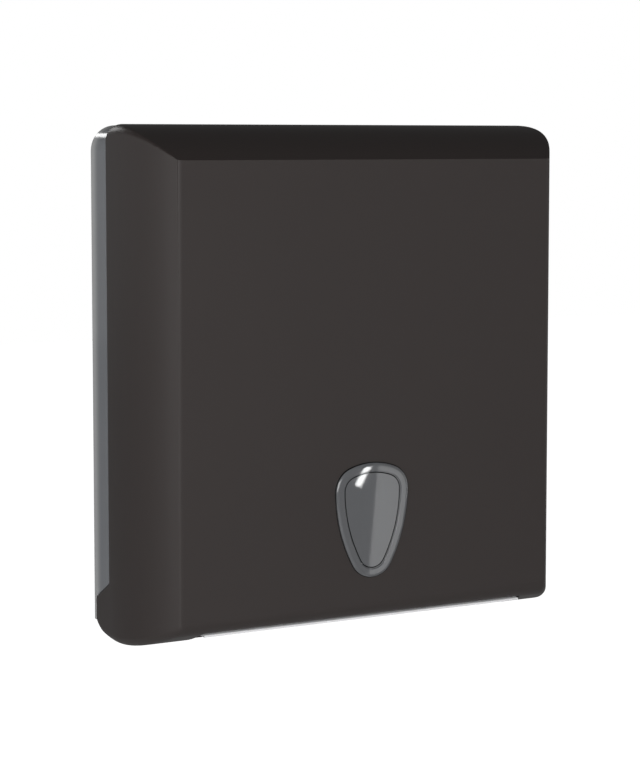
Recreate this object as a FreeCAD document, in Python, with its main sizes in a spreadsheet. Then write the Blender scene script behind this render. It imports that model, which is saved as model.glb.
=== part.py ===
import FreeCAD, Part
import math
import os
import types
import Sketcher

# A slim wall dispenser for folded paper towels. X runs across, the wall is the plane Y = 0 with the
# front facing -Y, Z is up, and the origin is the centre of the four wall screws on the wall plane.
# Setbacks are measured forward from the wall, and rises are measured up from the lowest point.

SIZES = [
    ("height", 333, "overall height"),
    ("width", 305, "overall width"),
    ("depth", 105, "wall to front panel"),
    ("wall", 2.5, "thickness of the cover's wall"),
    ("crown_inset", 22.4, "how far the curved sides and top come in at the front panel"),
    ("crown_straight", 5, "straight part of the sides and top between the crown and the seam"),
    ("corner_radius", 17, "top corners at the back"),
    ("crown_corner", 10, "top corners at the back of the crown"),
    ("nose_radius", 1, "top corners at the front panel"),
    ("hem_radius", 6, "edge between the sides and the underside"),
    ("toe_radius", 11.5, "edge between the front panel and the underside"),
    ("under_level", 6.5, "level part of the underside in front of the hinge"),
    ("toe_rise", 27.3, "lower end of the flat front panel"),
    ("heel_radius", 28.4, "curve of the underside behind the hinge"),
    ("hinge_setback", 18, "hinge axis from the wall"),
    ("hinge_rise", 10.3, "hinge axis above the lowest point"),
    ("seam_setback", 33, "back edge of the cover's sides and top"),
    ("seam_gap", 1, "gap along the seam between the cover and the base"),
    ("ear_setback", 5.5, "back of the cover's ears from the wall"),
    ("ear_front_rise", 37.8, "top of the cover's ear at the seam"),
    ("ear_back_rise", 23, "top of the cover's ear at its back"),
    ("ear_width", 15.5, "width of the cover's hinge ear"),
    ("slot_gap", 2, "towel's side to the slot's end"),
    ("slot_lip", 5, "front panel to the slot's front edge"),
    ("slot_reach", 48, "front panel to the slot's back edge"),
    ("slot_corner", 3, "corner radius of the slot"),
    ("window_width", 51.8, "lens, side to side"),
    ("window_height", 74.7, "lens, top to bottom"),
    ("window_rise", 43.1, "bottom of the lens"),
    ("shoulder_rise", 56.8, "lens bottom to its widest level"),
    ("shoulder_radius", 16, "upper corners of the lens"),
    ("flank_radius", 103, "long sides of the lens"),
    ("lens_lip", 3, "overlap of the lens on the panel"),
    ("lens_rim", 5.8, "width of the lens's raised rim"),
    ("lens_proud", 2, "height of the lens above the panel"),
    ("lens_sink", 0.7, "depth of the pane below the rim"),
    ("lens_bevel", 1.4, "bevel on the outside of the rim"),
    ("lens_plug", 5.5, "how far the lens reaches in behind the panel's face"),
    ("retainer_width", 4, "width of the ring behind the panel"),
    ("plate", 3, "thickness of the base's back"),
    ("rim", 2.5, "thickness of the base's rim"),
    ("base_inset", 0.5, "base inside the cover's outline"),
    ("base_rise", 7.5, "lower edge of the base's back"),
    ("lip_reach", 8, "how far the base's lips reach into the cover"),
    ("lip_rise", 62, "lower end of each lip"),
    ("lip_end", 33, "upper end of each lip below the top"),
    ("beam_radius", 7.2, "outside of the hinge beam"),
    ("beam_wall", 2.2, "thickness of the hinge beam"),
    ("beam_rise", 22, "top of the hinge beam"),
    ("lug", 6, "thickness of each hinge lug"),
    ("lug_gap", 1, "lug to the cover's ear"),
    ("sweep_gap", 0.6, "base to the ear as it turns"),
    ("screw_edge", 52.5, "wall screws in from the sides"),
    ("screw_end", 56.5, "wall screws in from the top and bottom"),
    ("screw_hole", 2.75, "radius of the wall-screw holes"),
    ("screw_pad", 8, "radius of the pads round the wall-screw holes"),
    ("pad_height", 1.2, "height of those pads"),
    ("rail", 2, "thickness of the base's paper rails"),
    ("rail_height", 4, "height of the paper rails"),
    ("rail_pitch", 52, "rail to rail"),
    ("rail_rise", 65, "lower end of the paper rails"),
    ("rail_end", 50, "upper end of the paper rails below the top"),
    ("boss_radius", 4, "radius of the base's screw bosses"),
    ("boss_height", 6, "height of the base's screw bosses"),
    ("thread", 1.5, "radius of the small screws"),
    ("screw_length", 9, "length under the head of the small screws"),
    ("head_radius", 3.2, "head radius of the small screws"),
    ("head_height", 2.2, "head height of the small screws"),
    ("drive_width", 1, "width of the small screws' drive slot"),
    ("drive_depth", 1, "depth of the small screws' drive slot"),
    ("side_room", 40, "towel's side to the outside of the cover"),
    ("pack_setback", 14, "back of the pack from the wall"),
    ("pack_front_room", 6, "front panel to the pack"),
    ("refill_room", 65, "room above the pack"),
    ("guide_gap", 1.5, "pack to side guide"),
    ("guide_wall", 2, "thickness of the side guides"),
    ("guide_end", 70, "ends of the side guides in from the top and bottom"),
    ("guide_front_room", 32, "front panel to the side guides"),
    ("guide_foot", 22, "width of the side guides' feet"),
    ("guide_screw_end", 25, "side-guide screws in from the ends of the guides"),
    ("tray_wall", 2, "thickness of the tray"),
    ("tray_top", 26, "level that the pack rests on"),
    ("tray_gap", 1, "tray's side to the towel"),
    ("tray_shelf", 32, "depth of the tray's back shelf"),
    ("tray_ramp", 12, "radius of the ramp under the shelf"),
    ("tray_bar", 12, "depth of the tray's front bar"),
    ("tray_front_gap", 2, "front panel's inside to the tray"),
    ("cheek_drop", 8, "tray's cheeks below its top"),
    ("cheek_stand", 9, "tray's cheeks above its top"),
    ("flange_rise", 20, "height of the tray's back flange"),
    ("tray_screw_rise", 11, "tray screws above the tray's top"),
    ("tray_screw_edge", 16, "outer tray screws in from the tray's sides"),
    ("towel_thickness", 1.6, "thickness of the folded leading towel"),
    ("towel_lip", 5.6, "front of the leading towel behind the panel's face"),
    ("towel_lip_rise", 14.9, "underside of the leading towel at the slot"),
    ("towel_bend", 6, "bend of the leading towel"),
    ("towel_drop", 30, "front panel to where the leading towel comes down"),
    ("bush_bore", 2.55, "bore radius of the hinge bushes"),
    ("bush_radius", 4, "outside radius of the hinge bushes"),
    ("bush_length", 10, "length of the hinge bushes"),
    ("bush_flange", 1, "thickness of the bushes' flange"),
    ("bush_flange_radius", 6, "radius of the bushes' flange"),
    ("ear_boss", 6.5, "radius of the boss in each ear"),
    ("pin_radius", 2.5, "radius of the hinge pins"),
    ("pin_reach", 9, "length of the hinge pins in their bushes"),
    ("pin_head_radius", 4, "head radius of the hinge pins"),
    ("pin_head", 1.5, "head thickness of the hinge pins"),
    ("lock_setback", 18, "lock axis from the wall"),
    ("lock_sink", 0.2, "lock's face below the base's top"),
    ("lock_head_radius", 11.3, "head radius of the lock's housing"),
    ("lock_head", 1.8, "head thickness of the lock's housing"),
    ("lock_radius", 8, "outside radius of the lock's housing"),
    ("lock_length", 18, "length of the lock's housing under its head"),
    ("lock_seat_radius", 13, "radius of the thick place round the lock"),
    ("lock_seat", 6, "thickness of the base's top at the lock"),
    ("barrel_radius", 5.45, "radius of the barrel"),
    ("barrel_head_radius", 6.95, "radius of the barrel's head"),
    ("barrel_head", 1.2, "thickness of the barrel's head"),
    ("turning_gap", 0.05, "radial gap round what turns in the lock"),
    ("barrel_end_gap", 0.3, "barrel's shoulder below the housing"),
    ("tenon", 7, "square of the barrel's tenon"),
    ("tenon_length", 2, "length of the barrel's tenon"),
    ("keyway_width", 1.6, "width of the key's slot"),
    ("keyway_length", 7, "length of the key's slot"),
    ("keyway_depth", 17, "depth of the key's slot"),
    ("wafer", 1.2, "thickness of a wafer"),
    ("wafer_width", 4.4, "width of a wafer"),
    ("wafer_length", 9.8, "length of a wafer"),
    ("wafer_pitch", 3, "wafer to wafer"),
    ("wafer_first", 5, "barrel's face to the first wafer"),
    ("wafer_gap", 0.05, "gap round the wafers in the barrel"),
    ("cam_thickness", 2.2, "thickness of the cam"),
    ("cam_radius", 7.5, "half width of the cam"),
    ("cam_reach", 26, "length of the cam from the lock's axis"),
    ("cam_screw_radius", 2, "radius of the cam's screw"),
    ("cam_screw_length", 8, "length of the cam's screw under its head"),
    ("cam_washer", 0.8, "thickness of the cam's washer"),
    ("cam_washer_radius", 5, "radius of the cam's washer"),
    ("cam_head_radius", 3.5, "head radius of the cam's screw"),
    ("cam_head", 2.4, "head height of the cam's screw"),
    ("lock_washer", 1, "thickness of the lock's washer"),
    ("lock_washer_radius", 11, "radius of the lock's washer"),
    ("nut_flats", 20, "lock nut across its flats"),
    ("nut_height", 4, "height of the lock's nut"),
    ("strike_wall", 1.6, "thickness of the strike"),
    ("strike_width", 14, "width of the strike"),
    ("strike_side", 14, "lock's axis to the strike's near side"),
    ("strike_level", 7.4, "top of the strike below the cover's top"),
    ("strike_front", 58, "front of the strike from the wall"),
    ("strike_gap", 0.9, "cam to the strike's lip when locked"),
    ("strike_overlap", 3, "strike's lip below the cam's top face"),
    ("strike_boss", 3.5, "radius of the strike's bosses"),
    ("strike_screw_front", 52, "front screw of the strike from the wall"),
    ("strike_screw_pitch", 10, "strike screw to strike screw"),
    ("strike_screw_length", 5.8, "length under the head of the strike's screws"),
]


class Size:
    """A length with its number now and the sheet expression that keeps it."""

    def __init__(self, number, text):
        self.number = number
        self.text = text

    def __add__(self, other):
        other = as_size(other)
        return Size(self.number + other.number, f"({self.text} + {other.text})")

    def __radd__(self, other):
        return as_size(other) + self

    def __sub__(self, other):
        other = as_size(other)
        return Size(self.number - other.number, f"({self.text} - {other.text})")

    def __rsub__(self, other):
        return as_size(other) - self

    def __mul__(self, other):
        other = as_size(other)
        return Size(self.number * other.number, f"({self.text} * {other.text})")

    def __rmul__(self, other):
        return as_size(other) * self

    def __truediv__(self, other):
        other = as_size(other)
        return Size(self.number / other.number, f"({self.text} / {other.text})")

    def __neg__(self):
        return Size(-self.number, f"(0 - {self.text})")


def as_size(value):
    if isinstance(value, Size):
        return value
    return Size(float(value), f"({value})")


def root(size):
    return Size(math.sqrt(size.number), f"sqrt({size.text})")


def leg(hypotenuse, other):
    """The third side of a right-angled triangle."""
    return root(hypotenuse * hypotenuse - other * other)


def make_sheet(doc):
    sheet = doc.addObject("Spreadsheet::Sheet", "Sizes")
    sizes = types.SimpleNamespace()
    for row, (alias, number, meaning) in enumerate(SIZES, start=1):
        sheet.set(f"A{row}", meaning)
        sheet.set(f"B{row}", str(number))
        sheet.setAlias(f"B{row}", alias)
        setattr(sizes, alias, Size(float(number), f"Sizes.{alias}"))
    doc.recompute()
    return sizes


def derive(s):
    """Levels, setbacks and radii that several pieces share."""
    s.top = s.height / 2
    s.bottom = -s.height / 2
    s.side = s.width / 2
    s.front = -s.depth
    s.crown_depth = s.depth - s.seam_setback - s.crown_straight
    s.under_reach = s.depth - s.hinge_setback - s.under_level
    s.crown_radius = (s.crown_inset * s.crown_inset + s.crown_depth * s.crown_depth) / (2 * s.crown_inset)
    s.under_radius = ((s.under_reach * s.under_reach - 2 * s.under_reach * s.toe_radius
                       + s.toe_rise * s.toe_rise) / (2 * (s.toe_rise - s.toe_radius)))
    s.hinge_y = -s.hinge_setback
    s.hinge_z = s.bottom + s.hinge_rise
    s.ear_y = -s.ear_setback
    s.base_side = s.side - s.base_inset
    s.base_top = s.top - s.base_inset
    s.base_front = s.seam_setback - s.seam_gap
    s.ear_inner = s.side - s.ear_width
    s.lug_outer = s.ear_inner - s.lug_gap
    s.lock_y = -s.lock_setback
    s.lock_face = s.base_top - s.lock_sink
    s.housing_end = s.lock_face - s.lock_head - s.lock_length
    s.cam_top = s.housing_end - s.barrel_end_gap
    s.boss_face = s.plate + s.boss_height
    s.towel_side = s.side - s.side_room
    s.pack_front = s.front + s.pack_front_room
    s.tray_level = s.bottom + s.tray_top
    s.tray_side = s.towel_side + s.tray_gap
    s.guide_side = s.towel_side + s.guide_gap
    s.guide_half = s.top - s.guide_end
    return s


# ---------------------------------------------------------------- sketches and features

def new_body(doc, label):
    body = doc.addObject("PartDesign::Body", label)
    body.Label = label
    return body


def origin_plane(body, role):
    return next(item for item in body.Origin.OriginFeatures if item.Role == role)


def new_sketch(body, role, lift=0):
    """A sketch on one of the body's planes: XY faces up, XZ faces forward, YZ faces +X."""
    sketch = body.newObject("Sketcher::SketchObject", f"{body.Label}_sketch")
    sketch.AttachmentSupport = (origin_plane(body, role), [""])
    sketch.MapMode = "FlatFace"
    sketch.setExpression("AttachmentOffset.Base.z", as_size(lift).text)
    return sketch


def pin_number(sketch, kind, size, *targets):
    index = sketch.addConstraint(Sketcher.Constraint(kind, *targets, size.number))
    sketch.setExpression(f"Constraints[{index}]", size.text)


def arc_geometry(here, there, bend):
    """An arc between two corners; bend is its centre and whether it turns left."""
    centre_x, centre_y, left = bend
    centre = FreeCAD.Vector(as_size(centre_x).number, as_size(centre_y).number, 0)
    start, end = (here, there) if left else (there, here)
    first = math.atan2(start.y - centre.y, start.x - centre.x)
    last = math.atan2(end.y - centre.y, end.x - centre.x)
    if last < first:
        last += 2 * math.pi
    circle = Part.Circle(centre, FreeCAD.Vector(0, 0, 1), start.distanceToPoint(centre))
    return Part.ArcOfCircle(circle, first, last)


def add_loop(sketch, corners):
    """A closed outline. A corner is (x, y), or (x, y, bend) where an arc leads to the next one."""
    corners = [(as_size(c[0]), as_size(c[1])) + tuple(c[2:]) for c in corners]
    points = [FreeCAD.Vector(c[0].number, c[1].number, 0) for c in corners]
    ends = []
    for index, corner in enumerate(corners):
        here = points[index]
        there = points[(index + 1) % len(points)]
        if len(corner) == 2:
            ends.append((sketch.addGeometry(Part.LineSegment(here, there), False), 1, 2))
            continue
        geometry = sketch.addGeometry(arc_geometry(here, there, corner[2]), False)
        ends.append((geometry, 1, 2) if corner[2][2] else (geometry, 2, 1))
    for index, corner in enumerate(corners):
        geometry, start, end = ends[index]
        following, following_start, _ = ends[(index + 1) % len(ends)]
        sketch.addConstraint(Sketcher.Constraint("Coincident", geometry, end, following, following_start))
        pin_number(sketch, "DistanceX", corner[0], geometry, start)
        pin_number(sketch, "DistanceY", corner[1], geometry, start)
        if len(corner) == 3:
            chord = points[(index + 1) % len(points)] - points[index]
            level = abs(chord.x) > abs(chord.y)
            kind = "DistanceY" if level else "DistanceX"
            pin_number(sketch, kind, as_size(corner[2][1 if level else 0]), geometry, 3)


def add_rectangle(sketch, low_x, low_y, high_x, high_y):
    add_loop(sketch, [(low_x, low_y), (high_x, low_y), (high_x, high_y), (low_x, high_y)])


def add_circle(sketch, centre_x, centre_y, radius):
    centre_x, centre_y, radius = as_size(centre_x), as_size(centre_y), as_size(radius)
    centre = FreeCAD.Vector(centre_x.number, centre_y.number, 0)
    geometry = sketch.addGeometry(Part.Circle(centre, FreeCAD.Vector(0, 0, 1), radius.number), False)
    pin_number(sketch, "DistanceX", centre_x, geometry, 3)
    pin_number(sketch, "DistanceY", centre_y, geometry, 3)
    pin_number(sketch, "Radius", radius, geometry)


def pad(body, sketch, length, symmetric=False, back=False):
    feature = body.newObject("PartDesign::Pad", f"{body.Label}_pad")
    feature.Profile = sketch
    feature.setExpression("Length", as_size(length).text)
    feature.SideType = "Symmetric" if symmetric else "One side"
    feature.Reversed = back
    body.Document.recompute()
    return feature


def pocket(body, sketch, length=None, back=False):
    """A cut of the given length, or through everything both ways. It has to take something away."""
    before = body.Shape.Volume
    feature = body.newObject("PartDesign::Pocket", f"{body.Label}_pocket")
    feature.Profile = sketch
    if length is None:
        feature.SideType = "Symmetric"
        feature.Type = "ThroughAll"
    else:
        feature.setExpression("Length", as_size(length).text)
        feature.Reversed = back
    body.Document.recompute()
    if body.Shape.Volume > before - 1e-6:
        raise RuntimeError(f"{feature.Name} cuts nothing")
    return feature


def revolve(body, profile, axis):
    """A turned piece: a profile in the body's XZ plane, about its V axis (Z) or H axis (X)."""
    sketch = new_sketch(body, "XZ_Plane")
    add_loop(sketch, profile)
    feature = body.newObject("PartDesign::Revolution", f"{body.Label}_turned")
    feature.Profile = sketch
    feature.ReferenceAxis = (sketch, [axis])
    feature.Angle = 360
    body.Document.recompute()
    return feature


def mirror(body, features, role):
    feature = body.newObject("PartDesign::Mirrored", f"{body.Label}_mirror")
    feature.Originals = features
    feature.MirrorPlane = (origin_plane(body, role), [""])
    body.Tip = feature
    body.Document.recompute()
    return feature


def place(item, x=0, y=0, z=0):
    for axis, distance in (("x", x), ("y", y), ("z", z)):
        item.setExpression(f"Placement.Base.{axis}", as_size(distance).text)
    return item


def turn(item, axis, angle):
    """Turns a piece about its own origin."""
    item.Placement = FreeCAD.Placement(FreeCAD.Vector(0, 0, 0), FreeCAD.Rotation(axis, angle))
    return item


def combine(doc, kind, label, first, second):
    item = doc.addObject(f"Part::{kind}", label)
    item.Label = label
    item.Base = first
    item.Tool = second
    doc.recompute()
    return item


def fuse(doc, label, pieces):
    item = doc.addObject("Part::MultiFuse", label)
    item.Label = label
    item.Shapes = pieces
    doc.recompute()
    return item


def repeat(doc, label, form, places, rotation=None):
    """One node of identical separate solids, each a link to the same form."""
    links = []
    for number, spot in enumerate(places, start=1):
        link = doc.addObject("App::Link", f"{label}_{number}")
        link.LinkedObject = form
        if rotation is not None:
            link.Placement = FreeCAD.Placement(FreeCAD.Vector(0, 0, 0), rotation)
        links.append(place(link, *spot))
    group = doc.addObject("Part::Compound", label)
    group.Label = label
    group.Links = links
    doc.recompute()
    return group


# ---------------------------------------------------------------- the cover

def crown_point(s, offset):
    """Inset of the crown from the outer faces where it meets the front panel's offset face."""
    reach = s.crown_depth - offset
    return s.crown_radius - leg(s.crown_radius - offset, reach)


def cover_plan(doc, s, label, offset):
    """The cover seen from above, pulled up through its whole height."""
    body = new_body(doc, label)
    sketch = new_sketch(body, "XY_Plane")
    side = s.side - offset
    flat = s.side - crown_point(s, offset)
    front = s.front + offset
    curve_y = s.front + s.crown_depth
    centre = s.side - s.crown_radius
    back = s.ear_y - offset
    add_loop(sketch, [
        (-side, back), (-side, curve_y, (-centre, curve_y, True)),
        (-flat, front), (flat, front, (centre, curve_y, True)),
        (side, curve_y), (side, back),
    ])
    pad(body, sketch, s.height * 2, symmetric=True)
    return body


def cover_profile(doc, s, label, offset):
    """The cover seen from the side, pulled across its whole width."""
    body = new_body(doc, label)
    sketch = new_sketch(body, "YZ_Plane")
    front = s.front + offset
    top = s.top - offset
    crown_z = s.top - s.crown_radius
    crown_y = s.front + s.crown_depth
    crown_low = s.top - crown_point(s, offset)
    toe = s.toe_radius - offset
    toe_y = s.front + s.toe_radius
    toe_z = s.bottom + s.toe_rise
    under_y = s.front + s.under_reach
    under_z = s.bottom + s.under_radius
    share = toe / (s.under_radius - s.toe_radius)
    join_y = toe_y + (toe_y - under_y) * share
    join_z = toe_z + (toe_z - under_z) * share
    back = s.ear_y - offset
    heel_z = s.bottom + s.heel_radius
    heel_end = heel_z - leg(s.heel_radius - offset, back - s.hinge_y)
    add_loop(sketch, [
        (front, crown_low), (front, toe_z, (toe_y, toe_z, True)),
        (join_y, join_z, (under_y, under_z, True)),
        (under_y, s.bottom + offset), (s.hinge_y, s.bottom + offset, (s.hinge_y, heel_z, True)),
        (back, heel_end), (back, top), (crown_y, top, (crown_y, crown_z, True)),
    ])
    pad(body, sketch, s.width * 2, symmetric=True)
    return body


def corner_at(s, y):
    """Radius of the cover's top corners at the front panel, at the back of the crown or behind it."""
    behind = y - s.front.number - s.crown_depth.number
    if abs(behind) < 1e-3:
        return s.crown_corner.number
    return s.nose_radius.number if behind < 0 else s.corner_radius.number


def rounded_edges(shape, s, drop):
    """Fillets of the cover's form: growing along its top corners, even round its lower edges."""
    edges = []
    for index, edge in enumerate(shape.Edges, start=1):
        first, last = edge.ParameterRange
        start, middle, end = (edge.valueAt(t) for t in (first, (first + last) / 2, last))
        insets = [(s.side.number - abs(p.x)) - (s.top.number - p.z) for p in (start, middle, end)]
        along_corner = all(abs(inset) < 1e-3 for inset in insets)
        low = middle.z < s.bottom.number + s.toe_rise.number
        outer = abs(middle.x) > s.side.number - s.crown_inset.number
        if along_corner:
            radii = [max(corner_at(s, p.y) - drop, s.nose_radius.number / 2) for p in (start, end)]
            edges.append((index, radii[0], radii[1]))
        elif low and outer:
            edges.append((index, s.hem_radius.number - drop, s.hem_radius.number - drop))
    return edges


def cover_form(doc, s, label, offset):
    """A closed form of the cover, its surfaces moved inwards by the offset."""
    plan = cover_plan(doc, s, f"{label}_plan", offset)
    profile = cover_profile(doc, s, f"{label}_profile", offset)
    form = combine(doc, "Common", f"{label}_form", plan, profile)
    rounded = doc.addObject("Part::Fillet", f"{label}_rounded")
    rounded.Base = form
    rounded.Edges = rounded_edges(form.Shape, s, as_size(offset).number)
    doc.recompute()
    return rounded


def lens_outline(s, inset):
    """The lens's outline: broad round top, long flanks, narrow round bottom, moved in by the inset."""
    half = s.window_width / 2
    low = s.bottom + s.window_rise
    shoulder_x = half - s.shoulder_radius
    shoulder_z = low + s.shoulder_rise
    above = s.window_height - s.shoulder_rise
    crown = ((shoulder_x * shoulder_x + above * above - s.shoulder_radius * s.shoulder_radius)
             / (2 * (above - s.shoulder_radius)))
    crown_z = low + s.window_height - crown
    flank_x = s.flank_radius - half
    foot = ((s.flank_radius * s.flank_radius - flank_x * flank_x - s.shoulder_rise * s.shoulder_rise)
            / (2 * (s.flank_radius - s.shoulder_rise)))
    foot_z = low + foot
    top_share = (crown - inset) / (crown - s.shoulder_radius)
    top_x, top_z = shoulder_x * top_share, crown_z + (shoulder_z - crown_z) * top_share
    foot_share = (s.flank_radius - inset) / (s.flank_radius - foot)
    low_x, low_z = flank_x * foot_share - flank_x, shoulder_z + (foot_z - shoulder_z) * foot_share
    wide = half - inset
    return [
        (top_x, top_z, (0, crown_z, True)),
        (-top_x, top_z, (-shoulder_x, shoulder_z, True)),
        (-wide, shoulder_z, (flank_x, shoulder_z, True)),
        (-low_x, low_z, (0, foot_z, True)),
        (low_x, low_z, (-flank_x, shoulder_z, True)),
        (wide, shoulder_z, (shoulder_x, shoulder_z, True)),
    ]


def slot_cutter(doc, s):
    """The dispensing slot, cut straight up through the underside just behind the front panel."""
    body = new_body(doc, "slot_cutter")
    sketch = new_sketch(body, "XY_Plane", s.bottom + s.toe_rise + s.wall)
    half = s.towel_side + s.slot_gap
    front = s.front + s.slot_lip
    back = s.front + s.slot_reach
    radius = s.slot_corner
    near, far, inner = front + radius, back - radius, half - radius
    add_loop(sketch, [
        (-inner, front), (inner, front, (inner, near, True)),
        (half, near), (half, far, (inner, far, True)),
        (inner, back), (-inner, back, (-inner, far, True)),
        (-half, far), (-half, near, (-inner, near, True)),
    ])
    pad(body, sketch, s.toe_rise * 3, back=True)
    return body


def window_cutter(doc, s):
    body = new_body(doc, "window_cutter")
    sketch = new_sketch(body, "XZ_Plane", s.depth - s.wall * 2)
    add_loop(sketch, lens_outline(s, s.lens_lip))
    pad(body, sketch, s.wall * 4)
    return body


def seam_cutter(doc, s):
    """What lies behind the seam and above the ears, which belongs to the base."""
    body = new_body(doc, "seam_cutter")
    sketch = new_sketch(body, "YZ_Plane")
    slope = (s.ear_front_rise - s.ear_back_rise) / (s.seam_setback - s.ear_setback)
    beyond = s.plate * 4
    add_loop(sketch, [
        (-s.seam_setback, s.bottom + s.ear_front_rise),
        (beyond, s.bottom + s.ear_back_rise - slope * (beyond - s.ear_y)),
        (beyond, s.height), (-s.seam_setback, s.height),
    ])
    pad(body, sketch, s.width * 2, symmetric=True)
    return body


def beam_cutter(doc, s):
    """The middle of the cover behind the hinge axis, where the base's beam is."""
    body = new_body(doc, "beam_cutter")
    sketch = new_sketch(body, "YZ_Plane")
    add_rectangle(sketch, s.hinge_y, s.bottom - s.wall, s.plate * 4, s.bottom + s.ear_front_rise * 2)
    pad(body, sketch, s.ear_inner * 2, symmetric=True)
    return body


def ear_boss(doc, s, hand, name):
    """The boss inside an ear that holds the bush."""
    body = new_body(doc, f"ear_boss_{name}")
    inner = s.ear_inner + s.bush_flange + s.lug_gap
    outer = s.side - s.wall / 2
    revolve(body, [(inner, 0), (outer, 0), (outer, s.ear_boss), (inner, s.ear_boss)], "H_Axis")
    if hand < 0:
        turn(body, FreeCAD.Vector(0, 0, 1), 180)
    return place(body, 0, s.hinge_y, s.hinge_z)


def bush_hole(doc, s, hand, name):
    body = new_body(doc, f"bush_hole_{name}")
    inner = s.ear_inner
    outer = s.ear_inner + s.lug_gap + s.bush_flange + s.bush_length
    revolve(body, [(inner, 0), (outer, 0), (outer, s.bush_radius), (inner, s.bush_radius)], "H_Axis")
    if hand < 0:
        turn(body, FreeCAD.Vector(0, 0, 1), 180)
    return place(body, 0, s.hinge_y, s.hinge_z)


def strike_middle(s):
    return s.strike_side + s.strike_width / 2


def strike_screw_rows(s):
    return [-s.strike_screw_front, -s.strike_screw_front + s.strike_screw_pitch]


def strike_bosses(doc, s):
    body = new_body(doc, "strike_bosses")
    sketch = new_sketch(body, "XY_Plane", s.top - s.strike_level)
    for row in strike_screw_rows(s):
        add_circle(sketch, strike_middle(s), row, s.strike_boss)
    pad(body, sketch, s.strike_level - s.wall * 0.7)
    return body


def strike_holes(doc, s):
    body = new_body(doc, "strike_holes")
    sketch = new_sketch(body, "XY_Plane", s.top - s.strike_level)
    for row in strike_screw_rows(s):
        add_circle(sketch, strike_middle(s), row, s.thread)
    pad(body, sketch, s.strike_screw_length - s.strike_wall)
    return body


def front_cover(doc, s):
    outer = cover_form(doc, s, "cover_outer", 0)
    inner = cover_form(doc, s, "cover_inner", s.wall)
    shell = combine(doc, "Cut", "cover_shell", outer, inner)
    cutters = fuse(doc, "cover_cutters", [seam_cutter(doc, s), beam_cutter(doc, s),
                                          slot_cutter(doc, s), window_cutter(doc, s)])
    opened = combine(doc, "Cut", "cover_opened", shell, cutters)
    bossed = fuse(doc, "cover_bossed", [opened, strike_bosses(doc, s), ear_boss(doc, s, 1, "right"),
                                        ear_boss(doc, s, -1, "left")])
    holes = fuse(doc, "cover_holes", [strike_holes(doc, s), bush_hole(doc, s, 1, "right"),
                                      bush_hole(doc, s, -1, "left")])
    return combine(doc, "Cut", "front_cover", bossed, holes)


def window_lens(doc, s):
    """A raised rim round a flat pane, with a plug that passes through the panel."""
    body = new_body(doc, "window_lens")
    rim_sketch = new_sketch(body, "XZ_Plane", s.depth)
    add_loop(rim_sketch, lens_outline(s, 0))
    pad(body, rim_sketch, s.lens_proud)
    plug_sketch = new_sketch(body, "XZ_Plane", s.depth)
    add_loop(plug_sketch, lens_outline(s, s.lens_lip + 2 * s.turning_gap))
    plug = pad(body, plug_sketch, s.lens_plug, back=True)
    face_y = s.front.number - s.lens_proud.number
    rim_edges = [f"Edge{i}" for i, e in enumerate(body.Shape.Edges, start=1)
                 if abs(e.BoundBox.YMax - face_y) < 1e-6]
    bevel = body.newObject("PartDesign::Chamfer", "lens_bevel")
    bevel.Base = (plug, rim_edges)
    bevel.setExpression("Size", s.lens_bevel.text)
    doc.recompute()
    pane_sketch = new_sketch(body, "XZ_Plane", s.depth + s.lens_proud)
    add_loop(pane_sketch, lens_outline(s, s.lens_rim))
    pocket(body, pane_sketch, s.lens_sink)
    well_sketch = new_sketch(body, "XZ_Plane", s.depth - s.lens_plug)
    add_loop(well_sketch, lens_outline(s, s.lens_rim))
    pocket(body, well_sketch, s.lens_plug - s.wall / 2, back=True)
    return body


def window_retainer(doc, s):
    """The ring that grips the lens's plug against the inside of the panel."""
    body = new_body(doc, "window_retainer")
    sketch = new_sketch(body, "XZ_Plane", s.depth - s.wall)
    grip = s.lens_lip + s.turning_gap
    add_loop(sketch, lens_outline(s, grip - s.retainer_width))
    add_loop(sketch, lens_outline(s, grip))
    pad(body, sketch, s.lens_plug - s.wall, back=True)
    return body


# ---------------------------------------------------------------- the base

def arch(s, inset):
    """Side, top and corner centre of the base's outline, moved in by the inset."""
    side = s.base_side - inset
    top = s.base_top - inset
    radius = s.corner_radius - s.base_inset - inset
    turn_x, turn_z = side - radius, top - radius
    return side, top, turn_x, turn_z


def base_outline(s):
    side, top, turn_x, turn_z = arch(s, 0)
    low = s.bottom + s.base_rise
    return [
        (-side, low), (side, low), (side, turn_z, (turn_x, turn_z, True)),
        (turn_x, top), (-turn_x, top, (-turn_x, turn_z, True)), (-side, turn_z),
    ]


def rim_outline(s):
    side, top, turn_x, turn_z = arch(s, 0)
    in_side, in_top = arch(s, s.rim)[:2]
    low = s.bottom + s.base_rise
    return [
        (-side, low), (-in_side, low), (-in_side, turn_z, (-turn_x, turn_z, False)),
        (-turn_x, in_top), (turn_x, in_top, (turn_x, turn_z, False)),
        (in_side, turn_z), (in_side, low), (side, low), (side, turn_z, (turn_x, turn_z, True)),
        (turn_x, top), (-turn_x, top, (-turn_x, turn_z, True)), (-side, turn_z),
    ]


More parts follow.
